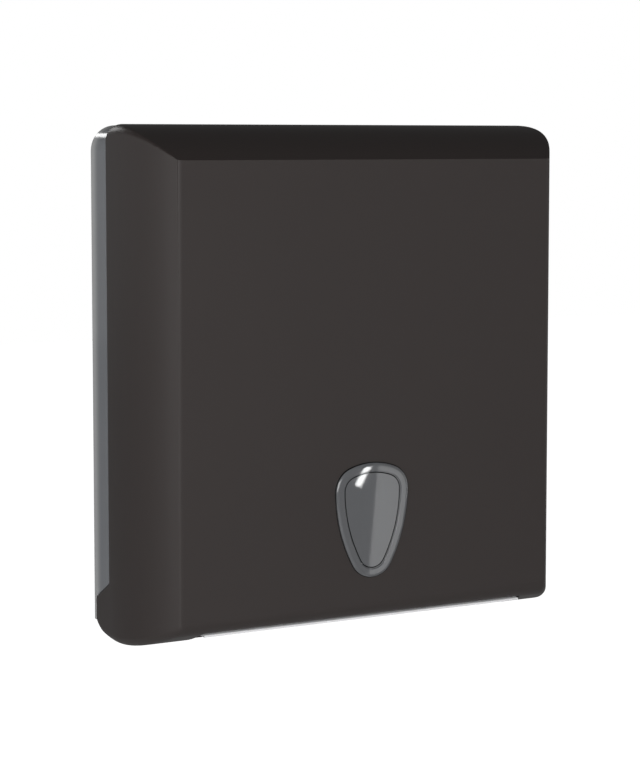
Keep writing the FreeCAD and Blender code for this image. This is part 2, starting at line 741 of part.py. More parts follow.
def cut_for_ears(body, s):
    """Opens the rim round the cover's ears, with room for them to turn."""
    slope = (s.ear_front_rise - s.ear_back_rise) / (s.seam_setback - s.ear_setback)
    front_z = s.bottom + s.ear_front_rise + s.seam_gap
    plate_z = front_z - slope * (s.seam_setback - s.plate)
    sketch = new_sketch(body, "YZ_Plane")
    add_loop(sketch, [
        (-s.seam_setback, s.bottom - s.wall), (-s.plate, s.bottom - s.wall),
        (-s.plate, plate_z), (-s.seam_setback, front_z),
    ])
    pocket(body, sketch)
    reach, above = s.ear_y - s.hinge_y, s.ear_back_rise - s.hinge_rise
    corner = root(reach * reach + above * above)
    sweep = corner + s.sweep_gap
    half_chord = leg(sweep, s.hinge_setback - s.plate)
    turning = new_sketch(body, "YZ_Plane")
    add_loop(turning, [
        (-s.plate, s.hinge_z - half_chord), (-s.plate, s.hinge_z + half_chord,
                                             (s.hinge_y, s.hinge_z, True)),
    ])
    pocket(body, turning)


def hinge_beam(body, s):
    """A trough along the hinge axis, tied into the back, with a solid lug at each end."""
    low = s.hinge_z
    high = s.bottom + s.beam_rise
    front = s.hinge_y - s.beam_radius
    back = s.hinge_y + s.beam_radius
    shelf = s.hinge_z + s.lug_gap
    inner = s.beam_radius - s.beam_wall
    bend = (s.hinge_y, s.hinge_z, True)
    trough = new_sketch(body, "YZ_Plane")
    add_loop(trough, [
        (front, high), (front, low, bend), (back, low), (back, high - s.beam_wall),
        (-s.plate, high - s.beam_wall), (-s.plate, high), (s.hinge_y + inner, high),
        (s.hinge_y + inner, low, (s.hinge_y, s.hinge_z, False)),
        (s.hinge_y - inner, low), (s.hinge_y - inner, high),
    ])
    pad(body, trough, s.lug_outer * 2, symmetric=True)
    lug = new_sketch(body, "YZ_Plane", s.lug_outer - s.lug)
    add_loop(lug, [
        (front, high), (front, low, bend), (back, low), (back, shelf), (-s.plate, shelf), (-s.plate, high),
    ])
    right = pad(body, lug, s.lug)
    mirror(body, [right], "YZ_Plane")
    hole = new_sketch(body, "YZ_Plane")
    add_circle(hole, s.hinge_y, s.hinge_z, s.pin_radius)
    pocket(body, hole)


def base_lips(body, s):
    """Upright lips inside the rim that reach into the cover and hide the seam."""
    inner = s.side - s.wall - s.base_inset
    low = s.bottom + s.lip_rise
    high = s.top - s.lip_end
    sketch = new_sketch(body, "XZ_Plane", s.base_front - s.lip_reach)
    for hand in (-1, 1):
        outside, inside = hand * inner, hand * (inner - s.rim)
        near, far = (outside, inside) if hand < 0 else (inside, outside)
        add_rectangle(sketch, near, low, far, high)
    pad(body, sketch, s.lip_reach * 2)


def base_bosses(body, s):
    """Screw bosses, pads round the wall screws and the paper rails, all on the back's front face."""
    bosses = new_sketch(body, "XZ_Plane", s.plate)
    for x, z in tray_screw_spots(s) + guide_screw_spots(s):
        add_circle(bosses, x, z, s.boss_radius)
    pad(body, bosses, s.boss_height)
    holes = new_sketch(body, "XZ_Plane", s.boss_face)
    for x, z in tray_screw_spots(s) + guide_screw_spots(s):
        add_circle(holes, x, z, s.thread)
    pocket(body, holes, s.screw_length - s.guide_wall)
    pads = new_sketch(body, "XZ_Plane", s.plate)
    for x, z in wall_screw_spots(s):
        add_circle(pads, x, z, s.screw_pad)
    pad(body, pads, s.pad_height)
    screws = new_sketch(body, "XZ_Plane")
    for x, z in wall_screw_spots(s):
        add_circle(screws, x, z, s.screw_hole)
    pocket(body, screws)
    rails = new_sketch(body, "XZ_Plane", s.plate)
    for step in (-1.5, -0.5, 0.5, 1.5):
        middle = step * s.rail_pitch
        add_rectangle(rails, middle - s.rail / 2, s.bottom + s.rail_rise,
                      middle + s.rail / 2, s.top - s.rail_end)
    pad(body, rails, s.rail_height)


def lock_seat(body, s):
    """A thick place in the top with a recess for the lock's head and a hole for its body."""
    seat = new_sketch(body, "XY_Plane", s.base_top)
    add_circle(seat, 0, s.lock_y, s.lock_seat_radius)
    pad(body, seat, s.lock_seat, back=True)
    recess = new_sketch(body, "XY_Plane", s.base_top)
    add_circle(recess, 0, s.lock_y, s.lock_head_radius + s.lock_sink)
    pocket(body, recess, s.lock_head + s.lock_sink)
    hole = new_sketch(body, "XY_Plane", s.base_top)
    add_circle(hole, 0, s.lock_y, s.lock_radius)
    pocket(body, hole, s.lock_seat * 2)


def back_plate(doc, s):
    body = new_body(doc, "back_plate")
    plate = new_sketch(body, "XZ_Plane")
    add_loop(plate, base_outline(s))
    pad(body, plate, s.plate)
    rim = new_sketch(body, "XZ_Plane")
    add_loop(rim, rim_outline(s))
    pad(body, rim, s.base_front)
    cut_for_ears(body, s)
    base_lips(body, s)
    hinge_beam(body, s)
    base_bosses(body, s)
    lock_seat(body, s)
    return body


def wall_screw_spots(s):
    x = s.side - s.screw_edge
    z = s.top - s.screw_end
    return [(hand * x, way * z) for hand in (-1, 1) for way in (-1, 1)]


def guide_screw_spots(s):
    x = s.guide_side + s.guide_wall + s.guide_foot * 0.6
    z = s.guide_half - s.guide_screw_end
    return [(hand * x, way * z) for hand in (-1, 1) for way in (-1, 1)]


def tray_screw_spots(s):
    level = s.tray_level + s.tray_screw_rise
    outer = s.tray_side - s.tray_screw_edge
    return [(step * outer / 3, level) for step in (-3, -1, 1, 3)]


def small_screw(doc, s, label, length):
    """A pan-head screw along -Z: its head's underside is at Z = 0."""
    body = new_body(doc, label)
    edge = s.head_radius - s.head_height * 0.4
    revolve(body, [
        (0, -length), (s.thread, -length), (s.thread, 0), (s.head_radius, 0),
        (s.head_radius, s.head_height * 0.5), (edge, s.head_height), (0, s.head_height),
    ], "V_Axis")
    slot = new_sketch(body, "XY_Plane", s.head_height)
    half = s.drive_width / 2
    add_rectangle(slot, -s.head_radius * 2, -half, s.head_radius * 2, half)
    pocket(body, slot, s.drive_depth)
    return body


def face_screws(doc, s, label, spots):
    """Small screws driven from the front into the base's bosses."""
    form = small_screw(doc, s, f"{label}_form", s.screw_length)
    head_y = -(s.boss_face + s.guide_wall)
    forward = FreeCAD.Rotation(FreeCAD.Vector(1, 0, 0), 90)
    return repeat(doc, label, form, [(x, head_y, z) for x, z in spots], forward)


def side_guide(doc, s, hand, name):
    """An upright fin beside the pack on a foot that is screwed to the base."""
    body = new_body(doc, f"side_guide_{name}")
    sketch = new_sketch(body, "XY_Plane")
    inner = s.guide_side
    fin = inner + s.guide_wall
    foot = fin + s.guide_foot
    back = -s.boss_face
    foot_front = back - s.guide_wall
    tip = s.front + s.guide_front_room
    half = s.guide_wall / 2
    corners = [
        (inner, back), (foot, back), (foot, foot_front), (fin, foot_front),
        (fin, tip + half, (inner + half, tip + half, False)), (inner, tip + half),
    ]
    if hand < 0:
        corners = mirrored_loop(corners)
    add_loop(sketch, corners)
    pad(body, sketch, s.guide_half * 2, symmetric=True)
    holes = new_sketch(body, "XZ_Plane")
    for x, z in guide_screw_spots(s):
        if x.number * hand > 0:
            add_circle(holes, x, z, s.thread + s.turning_gap)
    pocket(body, holes)
    return body


def mirrored_loop(corners):
    """The same outline on the other side of the Z axis; its arcs turn the other way."""
    result = []
    for corner in corners:
        x = -as_size(corner[0])
        if len(corner) == 2:
            result.append((x, corner[1]))
        else:
            centre_x, centre_y, left = corner[2]
            result.append((x, corner[1], (-as_size(centre_x), centre_y, not left)))
    return result


def paper_tray(doc, s):
    """A shelf that turns down in front, a bar along the front and a cheek at each side."""
    body = new_body(doc, "paper_tray")
    level = s.tray_level
    under = level - s.tray_wall
    back = -s.boss_face
    face = back - s.guide_wall
    edge = back - s.tray_shelf
    outer = s.tray_ramp
    inner = s.tray_ramp - s.tray_wall
    ramp_z = level - outer
    shelf = new_sketch(body, "YZ_Plane")
    add_loop(shelf, [
        (back, under), (back, level + s.flange_rise), (face, level + s.flange_rise), (face, level),
        (edge, level, (edge, ramp_z, True)), (edge - outer, ramp_z), (edge - inner, ramp_z,
                                                                         (edge, ramp_z, False)),
        (edge, under),
    ])
    pad(body, shelf, s.tray_side * 2, symmetric=True)
    front = s.front + s.wall + s.tray_front_gap
    bar_end = front + s.tray_bar
    half = s.tray_wall / 2
    bar = new_sketch(body, "YZ_Plane")
    add_loop(bar, [
        (front, under), (bar_end, under, (bar_end, under + half, True)), (bar_end, level),
        (front, level),
    ])
    pad(body, bar, s.tray_side * 2, symmetric=True)
    cheek = new_sketch(body, "YZ_Plane", s.tray_side)
    toe = front + s.cheek_drop
    add_loop(cheek, [
        (front, under), (toe, level - s.cheek_drop), (edge, level - s.cheek_drop), (edge, under),
        (back, under), (back, level + s.cheek_stand), (front, level + s.cheek_stand),
    ])
    right = pad(body, cheek, s.tray_wall)
    mirror(body, [right], "YZ_Plane")
    holes = new_sketch(body, "XZ_Plane")
    for x, z in tray_screw_spots(s):
        add_circle(holes, x, z, s.thread + s.turning_gap)
    pocket(body, holes)
    return body


# ---------------------------------------------------------------- the towels

def towel_stack(doc, s):
    """The pack of interleaved towels, resting on the tray's bar and shelf."""
    body = new_body(doc, "towel_stack")
    sketch = new_sketch(body, "XY_Plane", s.tray_level)
    add_rectangle(sketch, -s.towel_side, s.pack_front, s.towel_side, -s.pack_setback)
    pad(body, sketch, s.height - s.tray_top - s.refill_room)
    return body


def lead_towel(doc, s):
    """The first towel, which comes down between bar and shelf and bends forward to the slot."""
    body = new_body(doc, "lead_towel")
    sketch = new_sketch(body, "YZ_Plane")
    tip = s.front + s.towel_lip
    low = s.bottom + s.towel_lip_rise
    high = low + s.towel_thickness
    front_face = s.front + s.towel_drop
    back_face = front_face + s.towel_thickness
    inner = s.towel_bend - s.towel_thickness
    centre_y = front_face - inner
    centre_z = high + inner
    half = s.towel_thickness / 2
    add_loop(sketch, [
        (tip + half, low), (centre_y, low, (centre_y, centre_z, True)), (back_face, centre_z),
        (back_face, s.tray_level), (front_face, s.tray_level),
        (front_face, centre_z, (centre_y, centre_z, False)), (centre_y, high),
        (tip + half, high, (tip + half, low + half, True)),
    ])
    pad(body, sketch, s.towel_side * 2, symmetric=True)
    return body


# ---------------------------------------------------------------- the hinge

def hinge_pin(doc, s, hand, name):
    body = new_body(doc, f"hinge_pin_{name}")
    head = s.lug_outer - s.lug - s.pin_head
    neck = s.lug_outer - s.lug
    tip = s.ear_inner + s.lug_gap + s.pin_reach
    chamfer = s.pin_radius * 0.2
    revolve(body, [
        (head, 0), (tip, 0), (tip, s.pin_radius - chamfer), (tip - chamfer, s.pin_radius),
        (neck, s.pin_radius), (neck, s.pin_head_radius), (head, s.pin_head_radius),
    ], "H_Axis")
    if hand < 0:
        turn(body, FreeCAD.Vector(0, 0, 1), 180)
    return place(body, 0, s.hinge_y, s.hinge_z)


def hinge_bush(doc, s, hand, name):
    body = new_body(doc, f"hinge_bush_{name}")
    flange = s.ear_inner + s.lug_gap
    face = flange + s.bush_flange
    end = face + s.bush_length
    revolve(body, [
        (flange, s.bush_bore), (end, s.bush_bore), (end, s.bush_radius), (face, s.bush_radius),
        (face, s.bush_flange_radius), (flange, s.bush_flange_radius),
    ], "H_Axis")
    if hand < 0:
        turn(body, FreeCAD.Vector(0, 0, 1), 180)
    return place(body, 0, s.hinge_y, s.hinge_z)


# ---------------------------------------------------------------- the lock

def lock_housing(doc, s):
    """The fixed sleeve: its head's face is at Z = 0 and its body hangs down."""
    body = new_body(doc, "lock_housing")
    bore = s.barrel_radius + s.turning_gap
    mouth = s.barrel_head_radius + s.turning_gap
    seat = s.barrel_head + s.turning_gap
    end = s.lock_head + s.lock_length
    revolve(body, [
        (bore, -end), (s.lock_radius, -end), (s.lock_radius, -s.lock_head),
        (s.lock_head_radius, -s.lock_head), (s.lock_head_radius, -s.lock_sink),
        (s.lock_head_radius - s.lock_sink, 0), (mouth, 0), (mouth, -seat), (bore, -seat),
    ], "V_Axis")
    return place(body, 0, s.lock_y, s.lock_face)


def wafer_levels(s):
    return [-(s.wafer_first + step * s.wafer_pitch) for step in range(4)]


def lock_barrel(doc, s):
    """The turning plug, with a key's slot in its face, wafer slots across it and a square tenon."""
    body = new_body(doc, "lock_barrel")
    shoulder = s.lock_head + s.lock_length + s.barrel_end_gap
    revolve(body, [
        (0, -shoulder), (s.barrel_radius, -shoulder), (s.barrel_radius, -s.barrel_head),
        (s.barrel_head_radius, -s.barrel_head), (s.barrel_head_radius, 0), (0, 0),
    ], "V_Axis")
    tenon = new_sketch(body, "XY_Plane", -shoulder)
    half = s.tenon / 2
    add_rectangle(tenon, -half, -half, half, half)
    pad(body, tenon, s.tenon_length, back=True)
    keyway = new_sketch(body, "XY_Plane")
    add_rectangle(keyway, -s.keyway_width / 2, -s.keyway_length / 2, s.keyway_width / 2,
                  s.keyway_length / 2)
    pocket(body, keyway, s.keyway_depth)
    slots = new_sketch(body, "XZ_Plane")
    width = s.wafer_width / 2 + s.wafer_gap
    height = s.wafer / 2 + s.wafer_gap
    for level in wafer_levels(s):
        add_rectangle(slots, -width, level - height, width, level + height)
    pocket(body, slots)
    thread = new_sketch(body, "XY_Plane", -(shoulder + s.tenon_length))
    add_circle(thread, 0, 0, s.cam_screw_radius)
    pocket(body, thread, s.cam_screw_length - s.cam_washer, back=True)
    return place(body, 0, s.lock_y, s.lock_face)


def lock_wafers(doc, s):
    form = new_body(doc, "wafer_form")
    sketch = new_sketch(form, "XY_Plane")
    add_rectangle(sketch, -s.wafer_width / 2, -s.wafer_length / 2, s.wafer_width / 2,
                  s.wafer_length / 2)
    window_x = s.keyway_width / 2 + s.wafer_gap
    window_y = s.keyway_length / 2 + s.wafer_gap
    add_rectangle(sketch, -window_x, -window_y, window_x, window_y)
    pad(form, sketch, s.wafer, symmetric=True)
    return repeat(doc, "lock_wafers", form, [(0, s.lock_y, s.lock_face + z) for z in wafer_levels(s)])


def lock_cam(doc, s):
    """The cam on the barrel's tenon; it points forward when unlocked."""
    body = new_body(doc, "lock_cam")
    sketch = new_sketch(body, "XY_Plane")
    end = s.cam_radius - s.cam_reach
    add_loop(sketch, [
        (s.cam_radius, 0, (0, 0, True)), (-s.cam_radius, 0),
        (-s.cam_radius, end, (0, end, True)), (s.cam_radius, end),
    ])
    half = s.tenon / 2 + s.turning_gap
    add_rectangle(sketch, -half, -half, half, half)
    pad(body, sketch, s.cam_thickness, back=True)
    return place(body, 0, s.lock_y, s.cam_top)


def cam_washer(doc, s):
    body = new_body(doc, "cam_washer")
    sketch = new_sketch(body, "XY_Plane")
    add_circle(sketch, 0, 0, s.cam_washer_radius)
    add_circle(sketch, 0, 0, s.cam_screw_radius + s.turning_gap)
    pad(body, sketch, s.cam_washer, back=True)
    return place(body, 0, s.lock_y, s.cam_top - s.cam_thickness)


def cam_screw(doc, s):
    body = new_body(doc, "cam_screw")
    edge = s.cam_head_radius - s.cam_head * 0.3
    tip = s.cam_screw_length - (s.cam_thickness - s.tenon_length)
    revolve(body, [
        (0, -s.cam_head), (edge, -s.cam_head), (s.cam_head_radius, -s.cam_head * 0.6),
        (s.cam_head_radius, 0), (s.cam_screw_radius, 0), (s.cam_screw_radius, tip), (0, tip),
    ], "V_Axis")
    slot = new_sketch(body, "XY_Plane", -s.cam_head)
    add_rectangle(slot, -s.cam_head_radius * 2, -s.drive_width / 2, s.cam_head_radius * 2,
                  s.drive_width / 2)
    pocket(body, slot, s.drive_depth, back=True)
    return place(body, 0, s.lock_y, s.cam_top - s.cam_thickness - s.cam_washer)


def lock_washer(doc, s):
    """A toothed washer between the base's top and the nut."""
    body = new_body(doc, "lock_washer")
    sketch = new_sketch(body, "XY_Plane")
    add_circle(sketch, 0, 0, s.lock_washer_radius - s.lock_washer)
    add_circle(sketch, 0, 0, s.lock_radius + s.turning_gap)
    pad(body, sketch, s.lock_washer, back=True)
    tooth = new_sketch(body, "XY_Plane")
    half = s.lock_washer
    inner = s.lock_washer_radius - s.lock_washer * 2
    add_rectangle(tooth, inner, -half, s.lock_washer_radius, half)
    first = pad(body, tooth, s.lock_washer, back=True)
    pattern = body.newObject("PartDesign::PolarPattern", "washer_teeth")
    pattern.Originals = [first]
    pattern.Axis = (next(item for item in body.Origin.OriginFeatures if item.Role == "Z_Axis"), [""])
    pattern.Angle = 360
    pattern.Occurrences = 12
    body.Tip = pattern
    doc.recompute()
    return place(body, 0, s.lock_y, s.base_top - s.lock_seat)


def lock_nut(doc, s):
    body = new_body(doc, "lock_nut")
    sketch = new_sketch(body, "XY_Plane")
    flat = s.nut_flats / 2
    corner = s.nut_flats / math.sqrt(3)
    add_loop(sketch, [
        (corner, 0), (corner / 2, flat), (-corner / 2, flat), (-corner, 0), (-corner / 2, -flat),
        (corner / 2, -flat),
    ])
    add_circle(sketch, 0, 0, s.lock_radius)
    pad(body, sketch, s.nut_height, back=True)
    return place(body, 0, s.lock_y, s.base_top - s.lock_seat - s.lock_washer)


def lock_strike(doc, s):
    """A bent strap under the cover's top, with a lip behind the locked cam."""
    body = new_body(doc, "lock_strike")
    sketch = new_sketch(body, "YZ_Plane", s.strike_side)
    high = s.top - s.strike_level
    low = high - s.strike_wall
    lip_front = s.lock_y + s.cam_radius + s.strike_gap
    lip_back = lip_front + s.strike_wall
    lip_low = s.cam_top - s.strike_overlap - s.cam_thickness
    bend = s.strike_wall * 2
    turn_y, turn_z = lip_back - bend, high - bend
    add_loop(sketch, [
        (-s.strike_front, low), (turn_y, low, (turn_y, turn_z, False)), (lip_front, turn_z),
        (lip_front, lip_low), (lip_back, lip_low), (lip_back, turn_z, (turn_y, turn_z, True)),
        (turn_y, high), (-s.strike_front, high),
    ])
    pad(body, sketch, s.strike_width)
    holes = new_sketch(body, "XY_Plane")
    for row in strike_screw_rows(s):
        add_circle(holes, strike_middle(s), row, s.thread + s.turning_gap)
    pocket(body, holes)
    return body


def strike_screws(doc, s):
    """Screws driven up through the strike into the cover's bosses."""
    form = small_screw(doc, s, "strike_screw_form", s.strike_screw_length)
    head_z = s.top - s.strike_level - s.strike_wall
    upside_down = FreeCAD.Rotation(FreeCAD.Vector(1, 0, 0), 180)
    spots = [(strike_middle(s), row, head_z) for row in strike_screw_rows(s)]
    return repeat(doc, "strike_screws", form, spots, upside_down)


# ---------------------------------------------------------------- the assembly

def build(doc):
    s = derive(make_sheet(doc))
    pieces = [
        back_plate(doc, s), paper_tray(doc, s),
        face_screws(doc, s, "tray_screws", tray_screw_spots(s)),
        side_guide(doc, s, -1, "left"), side_guide(doc, s, 1, "right"),
        face_screws(doc, s, "guide_screws", guide_screw_spots(s)),
        hinge_pin(doc, s, -1, "left"), hinge_pin(doc, s, 1, "right"),
        lock_housing(doc, s), lock_washer(doc, s), lock_nut(doc, s),
        towel_stack(doc, s), lead_towel(doc, s),
        front_cover(doc, s), window_lens(doc, s), window_retainer(doc, s),
        hinge_bush(doc, s, -1, "left"), hinge_bush(doc, s, 1, "right"),
        lock_strike(doc, s), strike_screws(doc, s),
        lock_barrel(doc, s), lock_wafers(doc, s), lock_cam(doc, s), cam_washer(doc, s), cam_screw(doc, s),
    ]
    doc.recompute()
    return pieces


def check(doc, pieces):
    for item in doc.Objects:
        if "Invalid" in item.State or "Error" in item.State:
            raise RuntimeError(f"{item.Label} failed to build: {item.State}")
    for piece in pieces:
        if piece.Shape.isNull() or not piece.Shape.isValid():
            raise RuntimeError(f"{piece.Label} has no sound shape")


def export(pieces):
    os.makedirs("parts", exist_ok=True)
    for piece in pieces:
        piece.Shape.exportStep(f"parts/{piece.Label}.step")
        box = piece.Shape.BoundBox
        print(f"{piece.Label}: {len(piece.Shape.Solids)} solid(s), {piece.Shape.Volume:.0f} mm3, "
              f"X {box.XMin:.1f}..{box.XMax:.1f} Y {box.YMin:.1f}..{box.YMax:.1f} "
              f"Z {box.ZMin:.1f}..{box.ZMax:.1f}")


document = FreeCAD.newDocument("towel_dispenser")
finished = build(document)
check(document, finished)
export(finished)
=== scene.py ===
import math
import random
import bmesh
import bpy
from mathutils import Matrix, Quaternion, Vector


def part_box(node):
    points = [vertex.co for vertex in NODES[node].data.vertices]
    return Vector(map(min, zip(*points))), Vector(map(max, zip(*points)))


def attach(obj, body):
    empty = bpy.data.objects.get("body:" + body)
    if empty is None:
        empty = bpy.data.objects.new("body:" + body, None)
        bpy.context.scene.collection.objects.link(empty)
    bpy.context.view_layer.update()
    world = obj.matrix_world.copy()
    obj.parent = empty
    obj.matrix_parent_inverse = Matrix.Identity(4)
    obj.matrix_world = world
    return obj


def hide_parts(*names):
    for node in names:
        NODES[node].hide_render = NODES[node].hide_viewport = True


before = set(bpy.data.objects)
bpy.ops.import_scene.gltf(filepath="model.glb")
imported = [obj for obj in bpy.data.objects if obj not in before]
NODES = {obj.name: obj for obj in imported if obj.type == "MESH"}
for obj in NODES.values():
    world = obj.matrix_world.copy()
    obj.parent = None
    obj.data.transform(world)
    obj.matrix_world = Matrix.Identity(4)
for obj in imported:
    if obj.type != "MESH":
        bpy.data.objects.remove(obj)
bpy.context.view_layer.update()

bl_info = {
    "name": "Paper Towel Dispenser",
    "version": (1, 0, 0),
    "blender": (4, 5, 0),
    "location": "3D View > Sidebar > Dispenser",
    "description": "Builds the visible pieces and finishes of a slim wall towel dispenser",
    "category": "Object",
}

MM = 0.001
COVER_LOW, COVER_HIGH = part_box("front_cover")
LENS_LOW, LENS_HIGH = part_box("window_lens")
PACK_LOW, PACK_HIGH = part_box("towel_stack")
LEAD_LOW, LEAD_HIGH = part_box("lead_towel")


# ---------------------------------------------------------------- sizes and colours

class CoverSettings(bpy.types.PropertyGroup):
    """Finish and creases of the cover; crease, crown and toe say what shape the frame has"""
    colour: bpy.props.FloatVectorProperty(
        name="Cover colour", description="Moulded charcoal of the hinged cover",
        default=(0.0267, 0.0211, 0.0198), size=3, subtype="COLOR", min=0, max=1)
    roughness: bpy.props.FloatProperty(
        name="Cover roughness", description="Satin finish of the cover", default=0.40,
        min=0, max=1)
    grain: bpy.props.FloatProperty(
        name="Grain size", description="Size of the moulded grain", default=0.35 * MM,
        unit="LENGTH", precision=5)
    edge: bpy.props.FloatProperty(
        name="Edge rounding", description="Rounding of the crisp creases round the front panel",
        default=0.8 * MM, unit="LENGTH", precision=5)
    crease: bpy.props.FloatProperty(
        name="Crease radius", description="Rounding that the frame gives the upright creases",
        default=6 * MM, unit="LENGTH", precision=5)
    crown: bpy.props.FloatProperty(
        name="Crown radius", description="Radius of the curved sides and of the curved top",
        default=111.4 * MM, unit="LENGTH", precision=5)
    crown_back: bpy.props.FloatProperty(
        name="Crown back", description="Where the curved sides and top run level, from the wall",
        default=38 * MM, unit="LENGTH", precision=5)
    toe: bpy.props.FloatProperty(
        name="Toe radius", description="Rounding between the front panel and the underside",
        default=11.5 * MM, unit="LENGTH", precision=5)
    toe_rise: bpy.props.FloatProperty(
        name="Panel foot", description="Lower end of the flat front panel above the lowest point",
        default=27.3 * MM, unit="LENGTH", precision=5)


class LensSettings(bpy.types.PropertyGroup):
    """Finish, rim and groove of the window's lens"""
    colour: bpy.props.FloatVectorProperty(
        name="Lens colour", description="Smoked tint of the window's lens",
        default=(0.128, 0.131, 0.138), size=3, subtype="COLOR", min=0, max=1)
    clearness: bpy.props.FloatProperty(
        name="Clearness", description="How much is seen through the lens", default=0.25,
        min=0, max=1)
    round_off: bpy.props.FloatProperty(
        name="Rim rounding", description="Rounding of the outer edge of the lens's rim",
        default=1.5 * MM, unit="LENGTH", precision=5)
    recess: bpy.props.FloatProperty(
        name="Pane recess", description="How far the frame's pane lies behind its rim's front",
        default=0.7 * MM, unit="LENGTH", precision=5)
    groove: bpy.props.FloatProperty(
        name="Groove", description="Half the width of the groove round the pane",
        default=0.4 * MM, unit="LENGTH", precision=5)
    groove_depth: bpy.props.FloatProperty(
        name="Groove depth", description="Depth of the groove round the pane",
        default=0.9 * MM, unit="LENGTH", precision=5)


class BaseSettings(bpy.types.PropertyGroup):
    """Colours of the base, with light painted on it towards the wall"""
    colour: bpy.props.FloatVectorProperty(
        name="Base colour", description="Smoke grey of the base",
        default=(0.180, 0.188, 0.202), size=3, subtype="COLOR", min=0, max=1)
    # painted light: the base is painted paler towards the wall, where light comes in behind it
    painted_wall_light: bpy.props.FloatVectorProperty(
        name="Painted wall light", description="Paler base where light comes in along the wall",
        default=(0.42, 0.425, 0.43), size=3, subtype="COLOR", min=0, max=1)


class TowelSettings(bpy.types.PropertyGroup):
    """Paper and folds of the towels"""
    colour: bpy.props.FloatVectorProperty(
        name="Paper colour", description="White of the folded towels",
        default=(0.78, 0.78, 0.79), size=3, subtype="COLOR", min=0, max=1)
    pitch: bpy.props.FloatProperty(
        name="Towel pitch", description="Height that one folded towel takes up in the pack",
        default=2.39 * MM, unit="LENGTH", precision=5)
    ply: bpy.props.FloatProperty(
        name="Ply thickness", description="Thickness of one layer of a folded towel",
        default=0.4 * MM, unit="LENGTH", precision=5)
    spread: bpy.props.FloatProperty(
        name="Open fold", description="Gap between the two layers where the first towel hangs",
        default=1.2 * MM, unit="LENGTH", precision=5)
    seed: bpy.props.IntProperty(
        name="Seed", description="Seed of the pack's small unevenness", default=7)


class StageSettings(bpy.types.PropertyGroup):
    """Camera and floor"""
    lens: bpy.props.FloatProperty(
        name="Focal length", description="Focal length of the camera in millimetres",
        default=84.918)
    shift: bpy.props.FloatProperty(
        name="Lens shift", description="Vertical shift of the camera's lens", default=-0.15)
    place: bpy.props.FloatVectorProperty(
        name="Camera", description="Place of the camera", default=(-0.5004, -1.1229, 0.1556),
        size=3, subtype="TRANSLATION", unit="LENGTH")
    turn: bpy.props.FloatProperty(
        name="Turn", description="How far the camera is turned to the right",
        default=math.radians(24.51), unit="ROTATION")
    tilt: bpy.props.FloatProperty(
        name="Tilt", description="How far the camera looks down",
        default=math.radians(3.981), unit="ROTATION")
    floor: bpy.props.FloatVectorProperty(
        name="Floor colour", description="Pale floor", default=(0.60, 0.60, 0.60), size=3,
        subtype="COLOR", min=0, max=1)


SETTINGS = {
    "dispenser_cover": CoverSettings,
    "dispenser_lens": LensSettings,
    "dispenser_base": BaseSettings,
    "dispenser_towels": TowelSettings,
    "dispenser_stage": StageSettings,
}


# ---------------------------------------------------------------- node helpers

FLOAT, COLOUR, VECTOR = "NodeSocketFloat", "NodeSocketColor", "NodeSocketVector"


def set_inputs(node, values):
    """Links or sets a node's inputs, each given by its name or its number."""
    for name, value in values.items():
        socket = node.inputs[name]
        if isinstance(value, bpy.types.NodeSocket):
            node.id_data.links.new(value, socket)
        elif socket.type == "RGBA":
            socket.default_value = (*value, 1)
        else:
            socket.default_value = value
    return node


def add_node(tree, kind, x, y, values=None, **settings):
    """Adds a node at a place in the node editor, with its settings and then its inputs."""
    node = tree.nodes.new(kind)
    node.location = (x, y)
    for name, value in settings.items():
        setattr(node, name, value)
    return set_inputs(node, values or {})


def maths(tree, x, y, operation, first, second, clamp=False):
    node = add_node(tree, "ShaderNodeMath", x, y, {0: first, 1: second},
                    operation=operation, use_clamp=clamp)
    return node.outputs[0]


def mix_colours(tree, x, y, factor, first, second):
    """Mixes two colours; the Mix node's sockets for colours are numbers 6 and 7, and 2."""
    node = add_node(tree, "ShaderNodeMix", x, y, {0: factor, 6: first, 7: second},
                    data_type="RGBA")
    return node.outputs[2]


def fade(tree, x, y, value, start, end, first=0.0, last=1.0, curve="LINEAR"):
    """Turns a value that runs from start to end into one that runs from first to last."""
    node = add_node(tree, "ShaderNodeMapRange", x, y,
                    {"Value": value, "From Min": start, "From Max": end, "To Min": first,
                     "To Max": last}, interpolation_type=curve)
    return node.outputs[0]


def noise(tree, x, y, place, scale, detail, roughness=0.5):
    node = add_node(tree, "ShaderNodeTexNoise", x, y,
                    {"Vector": place, "Scale": scale, "Detail": detail, "Roughness": roughness})
    return node.outputs["Fac"]


def piece_coordinates(tree, x, y):
    """Coordinates in metres that stay on a piece when it moves."""
    return add_node(tree, "ShaderNodeTexCoord", x, y).outputs["Object"]


# ---------------------------------------------------------------- shared groups

NOISE_MIDDLE = 0.5          # noise runs from 0 to 1 about this
FIBRE_HEIGHT = 0.45         # height of the paper's fibres against its dimples
METAL_UNEVENNESS = 0.22     # how much the roughness of metal varies with its marks


def new_group(name, inputs, outputs):
    """An empty node group; inputs are (name, kind, default) and outputs (name, kind)."""
    group = bpy.data.node_groups.new(name, "ShaderNodeTree")
    for label, kind, default in inputs:
        socket = group.interface.new_socket(name=label, in_out="INPUT", socket_type=kind)
        socket.default_value = default
    for label, kind in outputs:
        group.interface.new_socket(name=label, in_out="OUTPUT", socket_type=kind)
    start = add_node(group, "NodeGroupInput", -900, 0)
    end = add_node(group, "NodeGroupOutput", 700, 0)
    return group, start, end


